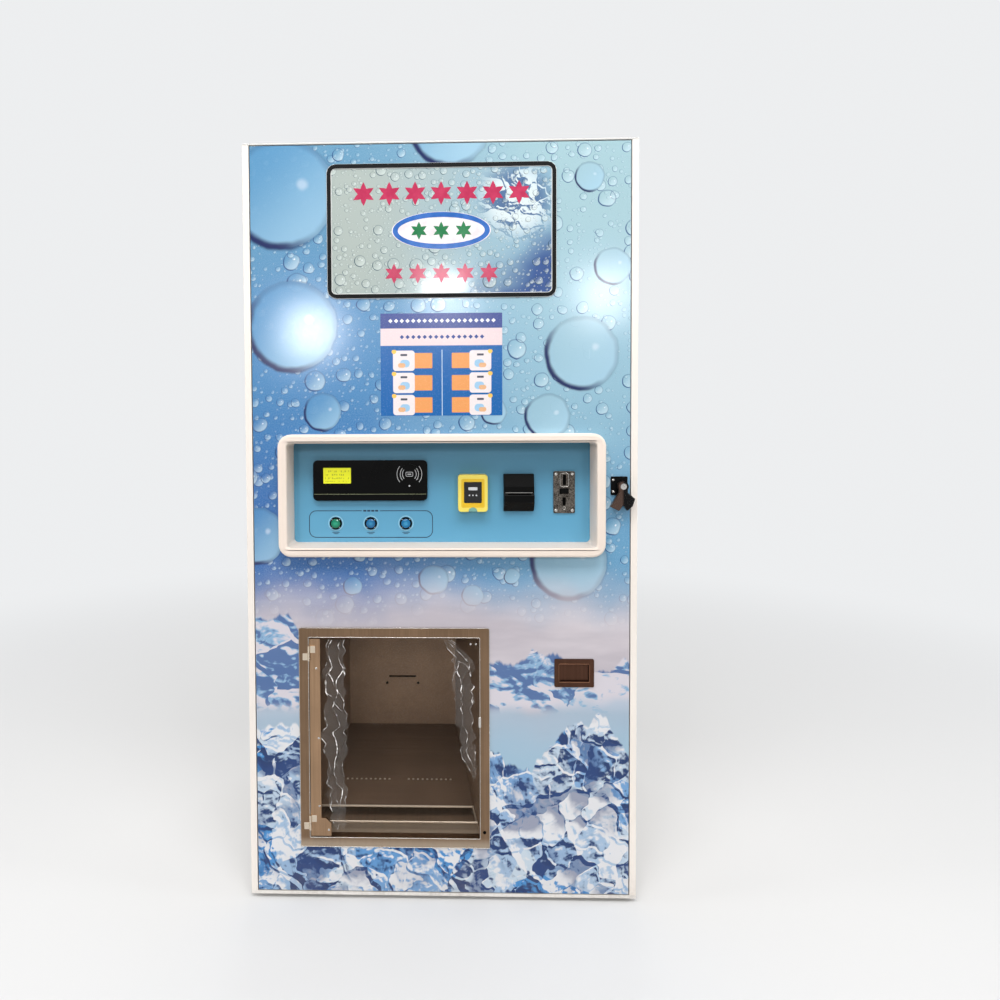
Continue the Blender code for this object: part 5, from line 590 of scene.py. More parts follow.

# %% [markdown]
# The same recipe now gives every metal sheet. What differs is the colour, how sharp it
# mirrors, the way its brush marks run, and the part that is of brighter steel or is painted
# brighter as a highlight, as light or as a reflection.

# %% The sheets, rods and tubes
# The warm bases are a painted reflection of warm surroundings. The floor's darker base is painted shade as well.
bay_steel = brushed("bay_brushed_steel", ink(0.56, 0.455, 0.36), 0.34, (900.0, 900.0, 9.0), 0.25, hinge_leaves)
stile_steel = brushed("bay_stile_steel", ink(0.70, 0.57, 0.45), 0.34, (900.0, 900.0, 9.0), 0.25, hinge_leaves)
bay_sheet = brushed("bay_inner_steel", ink(0.58, 0.475, 0.385), 0.46, (700.0, 9.0, 700.0), 0.3, front_lip, 0.55)
floor_sheet = brushed("bay_floor_steel", ink(0.46, 0.37, 0.30), 0.46, (9.0, 700.0, 700.0), 0.3, guard_rods, 0.55)
bin_steel = brushed("bin_steel", ink(0.70, 0.69, 0.67), 0.40, (12.0, 600.0, 600.0))
bright_steel = brushed("bright_steel", ink(0.86, 0.85, 0.83), 0.24, (300.0, 300.0, 300.0), 0.1)
# Dark steel for the dark screws, and painted shade for the dark plates in slot openings.
dark_steel = brushed("dark_slot_steel", ink(0.055, 0.052, 0.05), 0.5, (200.0, 200.0, 200.0), 0.1)
return_steel = brushed("coin_return_steel", ink(0.36, 0.25, 0.20), 0.40, (700.0, 700.0, 9.0), 0.3)
# A lighter copy of the coin return's steel, for a painted highlight along its edge.
return_bright = brushed("coin_return_edge_steel", ink(0.58, 0.42, 0.33), 0.30, (700.0, 700.0, 9.0), 0.3)
aluminium = brushed("mill_aluminium", ink(0.80, 0.80, 0.81), 0.42, (60.0, 60.0, 500.0))
copper = brushed("tube_copper", ink(0.85, 0.52, 0.36), 0.34, (200.0, 200.0, 40.0), 0.6)
print("sheets made:", [m.name for m in bpy.data.materials if "steel" in m.name])

# %% [markdown]
# Three metals are not brushed. The coin plate is cast and mottled. The lock is worn to
# bare metal in pits, and its right leaf is painted dark as painted shade. The condenser is
# a block of thin fins, drawn as fine lines with painted shade in the gaps between them.

# %% Cast, worn and finned metal
plate = Finish("coin_plate_casting", Metallic=1.0)
mottle = plate.place.noise(260.0, 5.0, 0.75)
tone = (mottle * 0.7 + plate.place.noise(60.0, 3.0, 0.6) * 0.3).step(0.36, 0.66)
plate.set(Base_Color=tone.mix(ink(0.08, 0.075, 0.07), ink(0.52, 0.49, 0.46)))
plate.set(Roughness=mottle.step(0.3, 0.7, 0.50, 0.26))
plate.bump(mottle, 0.00015)

lock_metal = Finish("lock_handle_metal", Metallic=0.85)
lock_x = place_of("lock_handle")[0][0]
pitted = lock_metal.place.noise(420.0, 4.0, 0.7)
# Painted shade: the leaf right of the barrel is dark as the side turned from the light, the left keeps the metal's
# brown.
right_leaf = lock_metal.place.split()[0].step(lock_x - 0.004, lock_x + 0.004)
tint = right_leaf.mix(ink(0.34, 0.265, 0.23), ink(0.06, 0.06, 0.065))
tint = pitted.step(0.60, 0.72).mix(tint, ink(0.72, 0.69, 0.65))
lock_metal.set(Base_Color=tint, Roughness=pitted.step(0.3, 0.7, 0.26, 0.46))
lock_metal.bump(pitted, 0.0001)

condenser = Finish("finned_coil", Metallic=1.0, Roughness=0.5)
fin = calc("FRACT", condenser.place.split()[0] * 420.0)
dusty = condenser.place.noise(34.0, 4.0, 0.7).step(0.45, 0.75)
# Painted shade: the dark lines between the fins stand for the shade in the gaps.
fins = fin.step(0.30, 0.55).mix(ink(0.16, 0.16, 0.17), ink(0.74, 0.75, 0.76))
condenser.set(Base_Color=(dusty * 0.5).mix(fins, DUST))
condenser.bump(fin, 0.0008)
print("metals made:", plate.material.name, lock_metal.material.name, condenser.material.name)

# %% [markdown]
# The sheet behind the keys is a smooth blue laminate. Light from above reaches its foot
# and leaves its head in the shade of the surround, and its colour is painted darker
# there too, as painted shade. The small lamps of the keys are tinted domes: darker at
# the rim, lighter where the lamp shines through.

# %% Payment panel blue, display and key lenses
panel_mid, _, panel_low, panel_high = place_of("control_fascia")
blue = Finish("payment_panel_blue", IOR=1.5)
look = coat_texture(blue.place, 700.0)
# Painted shade: the blue is darker towards the head, under the surround.
fade = blue.place.split()[2].step(panel_high[2], panel_mid[2] - 0.02)
base = (look["Tone"] * 0.25).mix(fade.mix(ink(0.27, 0.49, 0.60), ink(0.37, 0.64, 0.78)), ink(0.35, 0.60, 0.73))
blue.set(Base_Color=base, Roughness=look["Tone"].step(0.0, 1.0, 0.28, 0.36))
blue.bump(look["Height"], 0.00003)

display_x, _, display_z = place_of("display_lens")[0]
screen = Finish("display_glow", IOR=1.5, Roughness=0.12, Emission_Strength=0.18)
across, _, up = screen.place.split()
columns = calc("FRACT", (across - (display_x - 0.036)) * 190.0)
rows = calc("FRACT", (up - (display_z - 0.020)) * 100.0)
dots = ((columns < 0.6) * (rows < 0.5)) * (screen.place.noise(170.0, 0.0) > 0.52)
dots = dots * box_mask(screen.place, (display_x, display_z), (0.068, 0.034))
lit = (dots * 0.55).mix(ink(0.93, 0.94, 0.12), ink(0.40, 0.46, 0.05))
lit = box_mask(screen.place, (display_x, display_z), (0.079, 0.044), 0.002, 0.002).mix(ink(0.62, 0.70, 0.05), lit)
screen.set(Base_Color=lit, Emission_Color=lit)


def key_lens(key, deep, bright):
    """A tinted lens, bright in its middle where the lamp shines through, deep at its rim."""
    made = Finish(key + "_lens", IOR=1.5, Roughness=0.16, Emission_Strength=0.35)
    facets = made.place.noise(420.0, 2.0, 0.5)
    away = calc("DISTANCE", made.place, tuple(place_of(key)[0]))
    colour = (facets * 0.004 + away).step(0.015, 0.004).mix(deep, bright)
    made.set(Base_Color=colour, Emission_Color=colour)
    made.bump(facets, 0.00005)
    return made


lenses = {
    "button_left": key_lens("button_left", ink(0.02, 0.42, 0.32), ink(0.22, 0.74, 0.58)),
    "button_middle": key_lens("button_middle", ink(0.03, 0.34, 0.52), ink(0.26, 0.64, 0.80)),
    "button_right": key_lens("button_right", ink(0.03, 0.38, 0.56), ink(0.32, 0.70, 0.84)),
}
print("lenses:", sorted(lenses))

# %% [markdown]
# The door is covered by one printed vinyl. Its upper half is sky blue with drops of
# water from a grain of sand to a dinner plate in size. Below the payment panel it
# fades to a pale mist over a lake, and broken ice lies along the foot. All of it is
# drawn here from the machine's own coordinates, with a layout of its own: a colour
# wash, large drops placed one by one, three fields of small ones, and two banks of ice.

# %% The printed door vinyl
LARGE_DROPS = (
    (-0.440, 2.010, 0.150), (-0.415, 1.640, 0.125), (0.395, 1.560, 0.100), (0.030, 2.190, 0.110),
    (-0.330, 1.400, 0.052), (0.300, 1.385, 0.062), (0.480, 1.800, 0.050), (0.415, 2.045, 0.040),
    (0.360, 0.975, 0.105), (-0.520, 1.050, 0.080), (-0.020, 0.925, 0.042), (0.090, 0.880, 0.030),
    (-0.250, 0.905, 0.026), (0.20, 0.935, 0.022), (0.150, 1.40, 0.036),
)
DROP_REACH = 1.14
MIST_TOP, MIST_FULL, SHORE = 0.985, 0.78, 0.54


def bent(flat, scale, amount, detail=2.0):
    """The flat place pushed about by a noise, and the push itself."""
    wave = flat.noise(scale, detail, 0.5, out=1) - HALVES
    return flat + wave * amount, wave


def drop_fields(paint, flat, fields, pale, deep, clear=None):
    """Fields of drops one over the other. Each field has a scale, least size, share, shift and strength."""
    for scale, least, share, shift, strength in fields:
        field = drop_field(flat + (shift, shift, 0.0), scale, least, share)
        painted = paint_drops(paint, field, pale, deep, strength)
        paint = clear.mix(paint, painted) if clear else painted
    return paint


print("large drops:", len(LARGE_DROPS))

# %% [markdown]
# First comes the wash: three blues one over the other, each paler to the right, with
# their borders pushed about by a slow noise so that none is a straight line.

# %% The vinyl's wash of colour
vinyl = Finish("printed_door_vinyl", IOR=1.52)
across, depth, up = vinyl.place.split()
flat = joined(across, up, 0.0)
drift, wave = bent(flat, 5.0, 0.16)
drift_x, drift_z, _ = drift.split()
drawn_at, _ = bent(flat, 26.0, 0.010, 1.0)

side = drift_x.step(-0.30, 0.34)
high = side.mix(ink(0.37, 0.58, 0.71), ink(0.63, 0.76, 0.79))
middle = side.mix(ink(0.24, 0.50, 0.71), ink(0.57, 0.73, 0.80))
low = side.mix(ink(0.13, 0.38, 0.65), ink(0.37, 0.60, 0.75))
paint = drift_z.step(1.50, 1.08).mix(drift_z.step(2.0, 1.55).mix(high, middle), low)
paint = (flat.noise(330.0, 3.0, 0.7).step(0.35, 0.75) * 0.16).mix(paint, ink(0.78, 0.88, 0.94))
print("wash nodes:", len(vinyl.tree.nodes))

# %% [markdown]
# Each large drop could be a node group of its own, but fifteen would be slow. Only one
# is drawn: for every point, the way to the drop it lies in is picked first.

# %% Drops on the vinyl
near = (9.0, 9.0, 0.0)
for x, z, radius in LARGE_DROPS:
    offset = (drawn_at - (x, z, 0.0)) * (1.0 / radius)
    near = (calc("LENGTH", offset) < DROP_REACH).mix(near, offset, "VECTOR", (0, 4, 5), 1)
large = drop_shade(near)
fields = ((64.0, 0.30, 0.55, 0.0, 0.70), (27.0, 0.38, 0.72, 3.1, 1.0), (14.5, 0.48, 0.55, 7.7, 1.0))
clear_of_large = 1.0 - large["Body"] * 0.85
paint = drop_fields(paint, drawn_at, fields, ink(0.80, 0.89, 0.92), ink(0.13, 0.29, 0.50), clear_of_large)
paint = (large["Body"] * 0.62).mix(paint, side.mix(ink(0.33, 0.57, 0.75), ink(0.62, 0.76, 0.82)))
paint = paint_drops(paint, large, ink(0.66, 0.81, 0.89), ink(0.03, 0.06, 0.32), 1.0, 0.30, 0.24)
print("with drops:", len(vinyl.tree.nodes))

# %% [markdown]
# Mist, far mountains and a bank of broken ice cover the foot. A skyline is noise read
# along a level line only, so it gives one height for each place across the door.

# %% Mist, mountains and ice
mist_tone = (flat * (1.6, 7.0, 1.0)).noise(1.0, 4.0, 0.6).step(0.35, 0.7)
mist = mist_tone.mix(ink(0.74, 0.71, 0.74), ink(0.83, 0.80, 0.82))
mist = drift_z.step(0.62, 0.40).mix(mist, ink(0.66, 0.77, 0.84))
paint = drift_z.step(MIST_TOP, MIST_FULL).mix(paint, mist)

far_line = joined(across, 0.0, 0.0).noise(5.5, 5.0, 0.55) * 0.30 + (across.step(-0.22, -0.55) * 0.13 + SHORE)
far_lit = ice_relief(flat * (0.8, 1.3, 1.0), 5.5, 0.012)["Lit"]
mountains = far_lit.step(0.25, 0.50).mix(ink(0.13, 0.36, 0.60), ink(0.50, 0.68, 0.82))
mountains = far_lit.step(0.48, 0.70).mix(mountains, ink(0.84, 0.82, 0.85))
far_mask = (far_line - up).step(0.0, 0.012) * up.step(0.535, 0.575)
paint = (far_mask * 0.88).mix(paint, mountains)
paint = (drift_z.step(0.60, 0.55) * 0.55).mix(paint, ink(0.58, 0.71, 0.80))

near_line = joined(across, 0.3, 0.0).noise(5.0, 4.0, 0.55) * 0.52 + 0.20
ice, fine = ice_relief(flat, 6.0, 0.012), ice_relief(flat + (3.7, 1.3, 0.0), 14.0, 0.006)
ice_lit = ice["Lit"] * 0.55 + fine["Lit"] * 0.45
block = (flat + wave * 0.08).cells(8.5)["Color"].split()[0]
shards = block.step(0.15, 0.95).mix(ink(0.27, 0.55, 0.79), ink(0.76, 0.82, 0.87))
shards = ice_lit.step(0.20, 0.42).mix(ink(0.05, 0.19, 0.40), shards)
shards = ice_lit.step(0.50, 0.70).mix(shards, ink(0.88, 0.88, 0.89))
shards = (drift.noise(13.0, 3.0, 0.5, **RIDGED).step(1.15, 1.45) * 0.75).mix(shards, ink(0.92, 0.93, 0.94))
shards = (ice["Deep"] * fine["Deep"] * 0.6).mix(shards, ink(0.08, 0.24, 0.48))
paint = (near_line - up).step(0.0, 0.010).mix(paint, shards)
print("with ice:", len(vinyl.tree.nodes))

# %% [markdown]
# The film itself is glossy, with a faint peel and a slow sag that bends reflections. It
# is dusty near the ground and scuffed in patches. Behind the print the sheet is grey.

# %% Gloss and wear of the vinyl
peel, sag = vinyl.place.noise(240.0, 3.0, 0.6), vinyl.place.noise(3.0, 1.0, 0.4)
worn = weathering(vinyl.place, 0.16)
bare_back = depth.step(-0.5074, -0.5070)
paint = bare_back.mix((worn["Dust"] * 0.20).mix(paint, DUST), ink(0.72, 0.72, 0.71))
vinyl.set(Base_Color=paint, Roughness=worn["Scuff"] * 0.2 + peel.step(0.2, 0.8, 0.13, 0.22))
vinyl.bump(sag * 14.0 + peel, 0.00006)
print("vinyl nodes:", len(vinyl.tree.nodes))

# %% [markdown]
# The sign is a backlit acrylic panel. Its print is a washed out grey green with
# outlined drops, and runs to a deep blue in one lower corner. Where a shop sign has
# words, this one has plain cut shapes, added further on as thin pieces. A little
# emission stands for the lamps behind it.

# %% The sign's print
TANGLE = (0.215, 1.985, 0.0)
sign = Finish("sign_print", IOR=1.5, Emission_Strength=0.10)
across, _, up = sign.place.split()
flat = joined(across, up, 0.0)
drift_x, drift_z, _ = bent(flat, 8.0, 0.12)[0].split()
ground = drift_x.step(-0.25, 0.30).mix(ink(0.66, 0.70, 0.68), ink(0.56, 0.70, 0.77))
corner = drift_x - (drift_z - window_mid[2]) * 1.5
ground = (corner.step(0.22, 0.50) * 0.92).mix(ground, ink(0.16, 0.27, 0.52))
tangle = ice_relief(flat, 24.0, 0.004)["Lit"].step(0.30, 0.62).mix(ink(0.20, 0.32, 0.52), ink(0.88, 0.91, 0.91))
ground = (calc("DISTANCE", flat, TANGLE).step(0.13, 0.05) * 0.8).mix(ground, tangle)
fields = ((90.0, 0.40, 0.60, 1.0, 0.8), (40.0, 0.50, 0.75, 5.0, 1.0), (20.0, 0.55, 0.50, 2.0, 1.0))
ground = drop_fields(ground, flat, fields, ink(0.82, 0.86, 0.84), ink(0.14, 0.27, 0.34))
sign.set(Base_Color=ground, Emission_Color=ground, Roughness=sign.place.noise(60.0).step(0.3, 0.7, 0.08, 0.14))
print("sign nodes:", len(sign.tree.nodes))

# %% [markdown]
# The bay door is a clear acrylic pane, and strips of thin protective film still cling
# inside it. Both are see-through layers, made with Alpha so that the light of the
# studio still reaches the bay. The pane has faint wiping marks. The film is clearest
# where flat, and carries painted highlights along its creases and outlines, which its mesh
# marks with a number: there it is whiter and glows faintly.

# %% Clear pane and crumpled film
pane = Finish("clear_pane", IOR=1.49, Base_Color=ink(0.46, 0.40, 0.34))
wiped = (pane.place * (14.0, 14.0, 60.0)).noise(1.0, 4.0, 0.65)
pane.set(Roughness=wiped.step(0.4, 0.75, 0.02, 0.08), Alpha=wiped.step(0.45, 0.8, 0.03, 0.06))

film = Finish("crumpled_film", IOR=1.50, Base_Color=ink(0.96, 0.95, 0.94))
crinkle = film.place.noise(120.0, 4.0, 0.6, **RIDGED)
catching = film.place.noise(55.0, 2.0, 0.6).step(0.40, 0.66, 0.10, 1.0)
# Painted highlights: the creases and outlines are made whiter and glow faintly, as if they caught the lamps.
sharp = film.read("Attribute", "Fac", attribute_name="crest").step(0.15, 0.70) * catching
film.set(Roughness=crinkle.step(0.3, 1.2, 0.06, 0.18))
film.set(Alpha=calc("MAXIMUM", crinkle.step(0.9, 1.7, 0.035, 0.16), sharp * 0.85))
film.set(Emission_Color=(1.0, 0.97, 0.93, 1.0), Emission_Strength=sharp.step(0.45, 1.0) * 0.55)
film.bump(crinkle, 0.0010)
print("see-through:", pane.material.name, film.material.name)

# %% [markdown]
# Every solid already has the right shape, so it only needs its finish. The packed
# record names a finish for each solid. One table turns those names into the finishes
# made above, and a second one lists the few solids that differ from their kin, such as
# the posts, which are warmer than the side panels.

# %% Give each solid its finish
FINISHES = {
    "white_paint": white_coat, "grey_paint": grey_coat, "blue_wrap": vinyl, "window_print": sign,
    "black_rubber": rubber, "black_plastic": black, "cream_plastic": surround, "fascia_blue": blue,
    "yellow_plastic": yellow, "display_yellow": screen, "stainless": bin_steel, "bright_steel": bright_steel,
    "clear_acrylic": pane, "clear_film": film, "aluminium": aluminium, "copper": copper,
}
OWN_FINISH = {
    "side_panel_left": side_coat, "side_panel_right": side_coat, "rear_panel": rear_coat, "top_panel": roof_coat,
    "front_post_left": post_coat, "front_post_right_lower": post_coat, "latch_block": post_coat,
    "front_post_right_upper": post_coat, "bay_liner": bay_sheet, "bay_floor": floor_sheet,
    "coin_return": return_steel, "coin_flap": return_steel, "coin_acceptor": plate, "coin_reject_button": black,
    "lock_handle": lock_metal, "condenser_coil": condenser, "bay_flange": bay_steel, "bay_stile": stile_steel,
    **lenses,
}
named = {row["node"]: row["material_slot"] for row in frame["record"]["subparts"]}
for name, solid in nodes.items():
    finish = OWN_FINISH.get(name) or FINISHES[named[name]]
    for held in solid.material_slots:
        held.material = finish.material
print("finishes given to", len(nodes), "solids")

# %% [markdown]
# The added pieces are all worked out the same way: a grid of points in space, whose
# neighbours are joined by four sided faces. A bead is a profile carried along a path, a
# screw head is a profile turned round its axis, and a printed mark is a thin plate.
# Modelling tools could make each one, but a formula places dozens at once, exactly.

# %% Grids of points as pieces
def grid_faces(rows, columns, wrap_rows):
    """Faces between neighbours of a grid numbered row by row. The last column meets the first, and so may the
    last row."""
    i, j = np.meshgrid(np.arange(rows - 1 + wrap_rows), np.arange(columns), indexing="ij")
    below, right = (i + 1) % rows, (j + 1) % columns
    corners = [i * columns + j, i * columns + right, below * columns + right, below * columns + j]
    return np.stack(corners, -1).reshape(-1, 4)


def surface(name, points, finish, slot, body="service_door", wrap_rows=False, sharp=35.0, crest=None):
    """One piece from one grid, or from several grids of the same size: seams merged, faces turned outward. The
    crest is a number for each point, which a finish can read."""
    points = np.asarray(points, float)
    points = points.reshape(-1, *points.shape[-3:])
    copies, rows, columns, _ = points.shape
    faces = grid_faces(rows, columns, wrap_rows)
    faces = (faces[None] + np.arange(copies)[:, None, None] * rows * columns).reshape(-1, 4)
    mesh = bpy.data.meshes.new(name)
    mesh.from_pydata(points.reshape(-1, 3).tolist(), [], faces.tolist())
    if crest is not None:
        mesh.attributes.new("crest", "FLOAT", "POINT").data.foreach_set("value", np.ravel(crest))
    shape = bmesh.new()
    shape.from_mesh(mesh)
    bmesh.ops.remove_doubles(shape, verts=shape.verts, dist=1e-6)
    bmesh.ops.recalc_face_normals(shape, faces=shape.faces)
    shape.to_mesh(mesh)
    shape.free()
    mesh.materials.append(finish.material)
    mesh.shade_smooth()
    mesh.set_sharp_from_angle(angle=math.radians(sharp))
    piece = bpy.data.objects.new(name, mesh)
    bpy.context.scene.collection.objects.link(piece)
    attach(piece, body)
    return piece


print("grids ready")

# %% [markdown]
# Most pieces lie in the plane of the door, so they start from an outline given by how
# far across and how far up its points are.

# %% Outlines, beads, plates and heads
INK, FILM, SHEET = (0.0002, 0.00005), (0.0003, 0.0001), (0.0004, 0.0001)


def rounded_loop(middle, size, corner, steps=6):
    """Points round an upright rounded box in the door's plane, and the outward direction at each: a quarter
    circle at each corner, straight in between."""
    quarter = np.linspace(0, math.pi / 2, steps + 1)
    turn = (quarter[None] + np.arange(4)[:, None] * math.pi / 2).ravel()
    outward = np.stack([np.cos(turn), np.sin(turn)], -1)
    signs = np.repeat([(1, 1), (-1, 1), (-1, -1), (1, -1)], steps + 1, axis=0)
    return np.array(middle) + signs * (np.array(size) / 2 - corner) + corner * outward, outward


def pill(x, z, width, height, corner, steps=2):
    """Only the points of a rounded box."""
    return rounded_loop((x, z), (width, height), corner, steps)[0]


def ring_loop(middle, radii, start=0.0, sweep=360.0, steps=48):
    """Points along the arc of a circle or an ellipse in the door's plane, and the outward direction at each."""
    turn = np.radians(np.linspace(start, start + sweep, steps, endpoint=sweep < 360.0))
    outward = np.stack([np.cos(turn), np.sin(turn)], -1)
    return np.array(middle) + np.array(radii) * outward, outward


def half_round(width, height, steps=6):
    """A bead's profile: half an ellipse standing on the face."""
    turn = np.linspace(0, math.pi, steps + 1)
    return np.stack([np.cos(turn) * width / 2, np.sin(turn) * height], -1)


def flat_band(width, thickness=INK[0]):
    """The profile of a printed line: a flat film of that width."""
    half = width / 2
    return [(-half, 0.0), (-half, thickness), (half, thickness), (half, 0.0)]


print("outlines ready")


# %% [markdown]
# A bead follows an outline with its profile. A plate fills an outline. A film of ink is
# a plate too, only thinner.

# %% Beads and plates
def bead(name, loop, profile, face, finish, slot, closed=True):
    """A profile carried along a path on a face that looks forward: each point is the path plus the outward
    direction times the profile's width, and stands in front of the face by the profile's height. The ends
    of an open path close to a point."""
    path, outward = loop if closed else [np.concatenate([row[:1], row, row[-1:]]) for row in loop]
    keep = np.ones((len(path), 1))
    keep[[0, -1]] = float(closed)
    wide, proud = np.array(profile, float).T
    flat = path[:, None] + outward[:, None] * (wide * keep)[..., None]
    points = np.stack([flat[..., 0], face - proud * keep, flat[..., 1]], -1)
    return surface(name, points, finish, slot, wrap_rows=closed)


def thin_plate(name, outlines, face, sheet, finish, slot, body="service_door"):
    """Flat plates in the door's plane, one for each outline: rings of the same outline, drawn in by the bevel at
    the front edge, and closed to the middle at front and back. The sheet is its thickness and its bevel."""
    thickness, bevel = sheet
    outlines = np.asarray(outlines, float)
    outlines = outlines.reshape(-1, *outlines.shape[-2:])
    middle = (outlines.min(1, keepdims=True) + outlines.max(1, keepdims=True)) / 2
    drawn_in = 1 - bevel / np.abs(outlines - middle).max(axis=(1, 2))[:, None, None]
    rings = []
    for share, proud in ((0, 0), (1, 0), (1, thickness - bevel), (drawn_in, thickness), (0, thickness)):
        flat = middle + (outlines - middle) * share
        rings.append(np.stack([flat[..., 0], np.full(flat.shape[:2], face - proud), flat[..., 1]], -1))
    return surface(name, np.stack(rings, 1), finish, slot, body)


def mark(name, outlines, face, finish=pale_ink, slot="black_plastic"):
    """A mark of printed ink."""
    return thin_plate(name, outlines, face, INK, finish, slot)


print("beads and plates ready")


# %% [markdown]
# Screws and rivets are small domes. One formula gives their rounded side, and a cross is
# pressed into those that take a driver.

# %% Screw and rivet heads
def heads(name, centres, radius, rise, finish, slot, body="service_door", recess=0.6):
    """Pan heads in one piece. A head's height is its rise times the fourth root of 1 - s^4, where s is the
    distance from its axis as a share of the radius, less a cross shaped recess in its middle."""
    s = np.array([0.0, 0.12, 0.26, 0.42, 0.60, 0.76, 0.90, 0.98, 1.0])[:, None]
    turn = np.arange(16) * math.tau / 16
    across, up = s * np.cos(turn), s * np.sin(turn)
    cross = (np.minimum(np.abs(across), np.abs(up)) < 0.13) & (s < 0.55)
    height = rise * ((1 - s ** 4) ** 0.25 - recess * cross)
    local = np.stack([across * radius, -height, up * radius], -1)
    local = np.concatenate([local, local[-1:] * 0.0])
    return surface(name, np.asarray(centres, float)[:, None, None] + local, finish, slot, body, sharp=50.0)


print("shape helpers ready")

# %% [markdown]
# The sign's rubber gasket is pinched between two thin pale edges, where the cut vinyl
# and the acrylic show. Each is a fine bead along the gasket's own outline. In front of
# the acrylic go the cut shapes that stand where a shop would put its words: two rows of
# six pointed ice crystals, and an oval badge between them.

# %% The sign's beads and cut shapes
gasket_mid, gasket_size, _, _ = place_of("window_gasket")
sign_xz, gasket_box = gasket_mid[[0, 2]], gasket_size[[0, 2]]
GASKET_RING, OUTER_EDGE, INNER_EDGE = 0.010, 0.0016, 0.003
skin_face, sign_face = place_of("door_skin")[2][1], place_of("window_panel")[2][1]
outer = rounded_loop(sign_xz, gasket_box + OUTER_EDGE, 0.0248)
inner = rounded_loop(sign_xz, gasket_box - 2 * GASKET_RING - INNER_EDGE, 0.0125)
bead("sign_outer_edge", outer, half_round(OUTER_EDGE, 0.0009), skin_face, bead_white, "white_paint")
bead("sign_inner_edge", inner, half_round(0.0022, 0.0016), sign_face, bead_white, "white_paint")


def crystals(count, pitch, height, radius, waist=0.50):
    """A row of six pointed stars about the sign's middle. The radius of a star swings between the full one and
    the waist, twelve times round."""
    turn = np.arange(24) * math.tau / 24 + math.tau / 12
    reach = np.tile([1.0, 0.68, waist, 0.68], 6) * radius
    star = np.stack([np.cos(turn) * reach, np.sin(turn) * reach], -1)
    return [sign_xz + ((i - (count - 1) / 2) * pitch, height) + star for i in range(count)]


def cut_vinyl(name, colour):
    """Coloured film cut to shape: a little mottled where the lamps shine through."""
    made = Finish(name, IOR=1.5, Emission_Strength=0.06)
    cloud = made.place.noise(45.0, 3.0, 0.6).step(0.3, 0.7)
    base = (cloud * 0.5).mix(colour, shade(colour, 1.35, 0.01))
    made.set(Base_Color=base, Emission_Color=base, Roughness=cloud.step(0.0, 1.0, 0.14, 0.22))
    return made


crimson = cut_vinyl("crimson_cut_vinyl", ink(0.70, 0.17, 0.32))
badge_blue = cut_vinyl("badge_blue_vinyl", ink(0.16, 0.38, 0.68))
badge_white = cut_vinyl("badge_white_vinyl", ink(0.88, 0.85, 0.86))
badge_green = cut_vinyl("badge_green_vinyl", ink(0.10, 0.45, 0.26))
upper, lower = crystals(7, 0.072, 0.103, 0.033), crystals(5, 0.066, -0.118, 0.028)
inside = crystals(3, 0.062, 0.0, 0.025)
oval, ring = ring_loop(sign_xz, (0.138, 0.052), steps=72), ring_loop(sign_xz, (0.128, 0.044), steps=72)
thin_plate("sign_crystals_upper", upper, sign_face, FILM, crimson, "window_print")
thin_plate("sign_crystals_lower", lower, sign_face, FILM, crimson, "window_print")
thin_plate("sign_badge_field", oval[0], sign_face, FILM, badge_white, "window_print")
bead("sign_badge_ring", ring, flat_band(0.014, 0.0006), sign_face, badge_blue, "window_print")
thin_plate("sign_badge_crystals", inside, sign_face - FILM[0], FILM, badge_green, "window_print")
print("sign face at y", round(float(sign_face), 4))

# %% [markdown]
# Below the sign a glossy sticker shows how to buy. Its layout is kept: a dark band, a
# pale band, and a blue field with six white tiles, each beside an orange box. The words
# and drawings are left out, and plain marks stand in the tiles. The sticker is one thin
# plate. Its print folds the right half onto the left and the rows onto each other, so
# one tile drawn once appears six times.

# %% The buying guide sticker
STICKER, STICKER_SIZE = (0.004, 1.531), (0.340, 0.286)
ROWS_FOOT, ROWS_HEAD, ROW_HEIGHT, LOZENGE = 1.3870, 1.5724, 0.0620, 0.016
BANDS = ((0.090, ink(0.91, 0.83, 0.84)), (0.042, ink(0.20, 0.27, 0.55)))
TILE_MARKS = (
    ((0.0525, 0.0), (0.050, 0.042), 0.002, ink(0.92, 0.62, 0.36)),
    ((0.1070, 0.0), (0.060, 0.056), 0.008, ink(0.93, 0.89, 0.89)),
    ((0.1070, 0.016), (0.018, 0.005), 0.001, ink(0.30, 0.30, 0.36)),
    ((0.1040, -0.008), (0.026, 0.020), 0.009, ink(0.62, 0.78, 0.90)),
    ((0.1130, -0.013), (0.020, 0.012), 0.006, ink(0.90, 0.70, 0.52)),
    ((0.1345, 0.0255), (0.012, 0.012), 0.006, ink(0.97, 0.78, 0.35)),
    ((0.0, 0.0), (0.0012, 0.062), 0.0, ink(0.80, 0.88, 0.94)),
)
LOZENGE_ROWS = ((0.021, 0.152, ink(0.93, 0.93, 0.95)), (0.066, 0.120, ink(0.16, 0.27, 0.55)))
guide = Finish("guide_sticker_print", IOR=1.5)
across, _, up = guide.place.split()
top = STICKER[1] + STICKER_SIZE[1] / 2
from_middle = abs(across - (STICKER[0] + 0.002))
folded = joined(from_middle, 0.0, (up - ROWS_FOOT) % ROW_HEIGHT - ROW_HEIGHT / 2)
in_rows = up.step(ROWS_FOOT + 0.0002, ROWS_FOOT + 0.0006) * up.step(ROWS_HEAD + 0.0002, ROWS_HEAD - 0.0002)
colour = ink(0.04, 0.38, 0.66)
for height, tint in BANDS:
    colour = up.step(top - height - 0.0005, top - height + 0.0005).mix(colour, tint)
for middle, size, corner, tint in TILE_MARKS:
    colour = (box_mask(folded, middle, size, corner, 0.0008) * in_rows).mix(colour, tint)
in_lozenge = abs((from_middle + LOZENGE / 2) % LOZENGE - LOZENGE / 2)
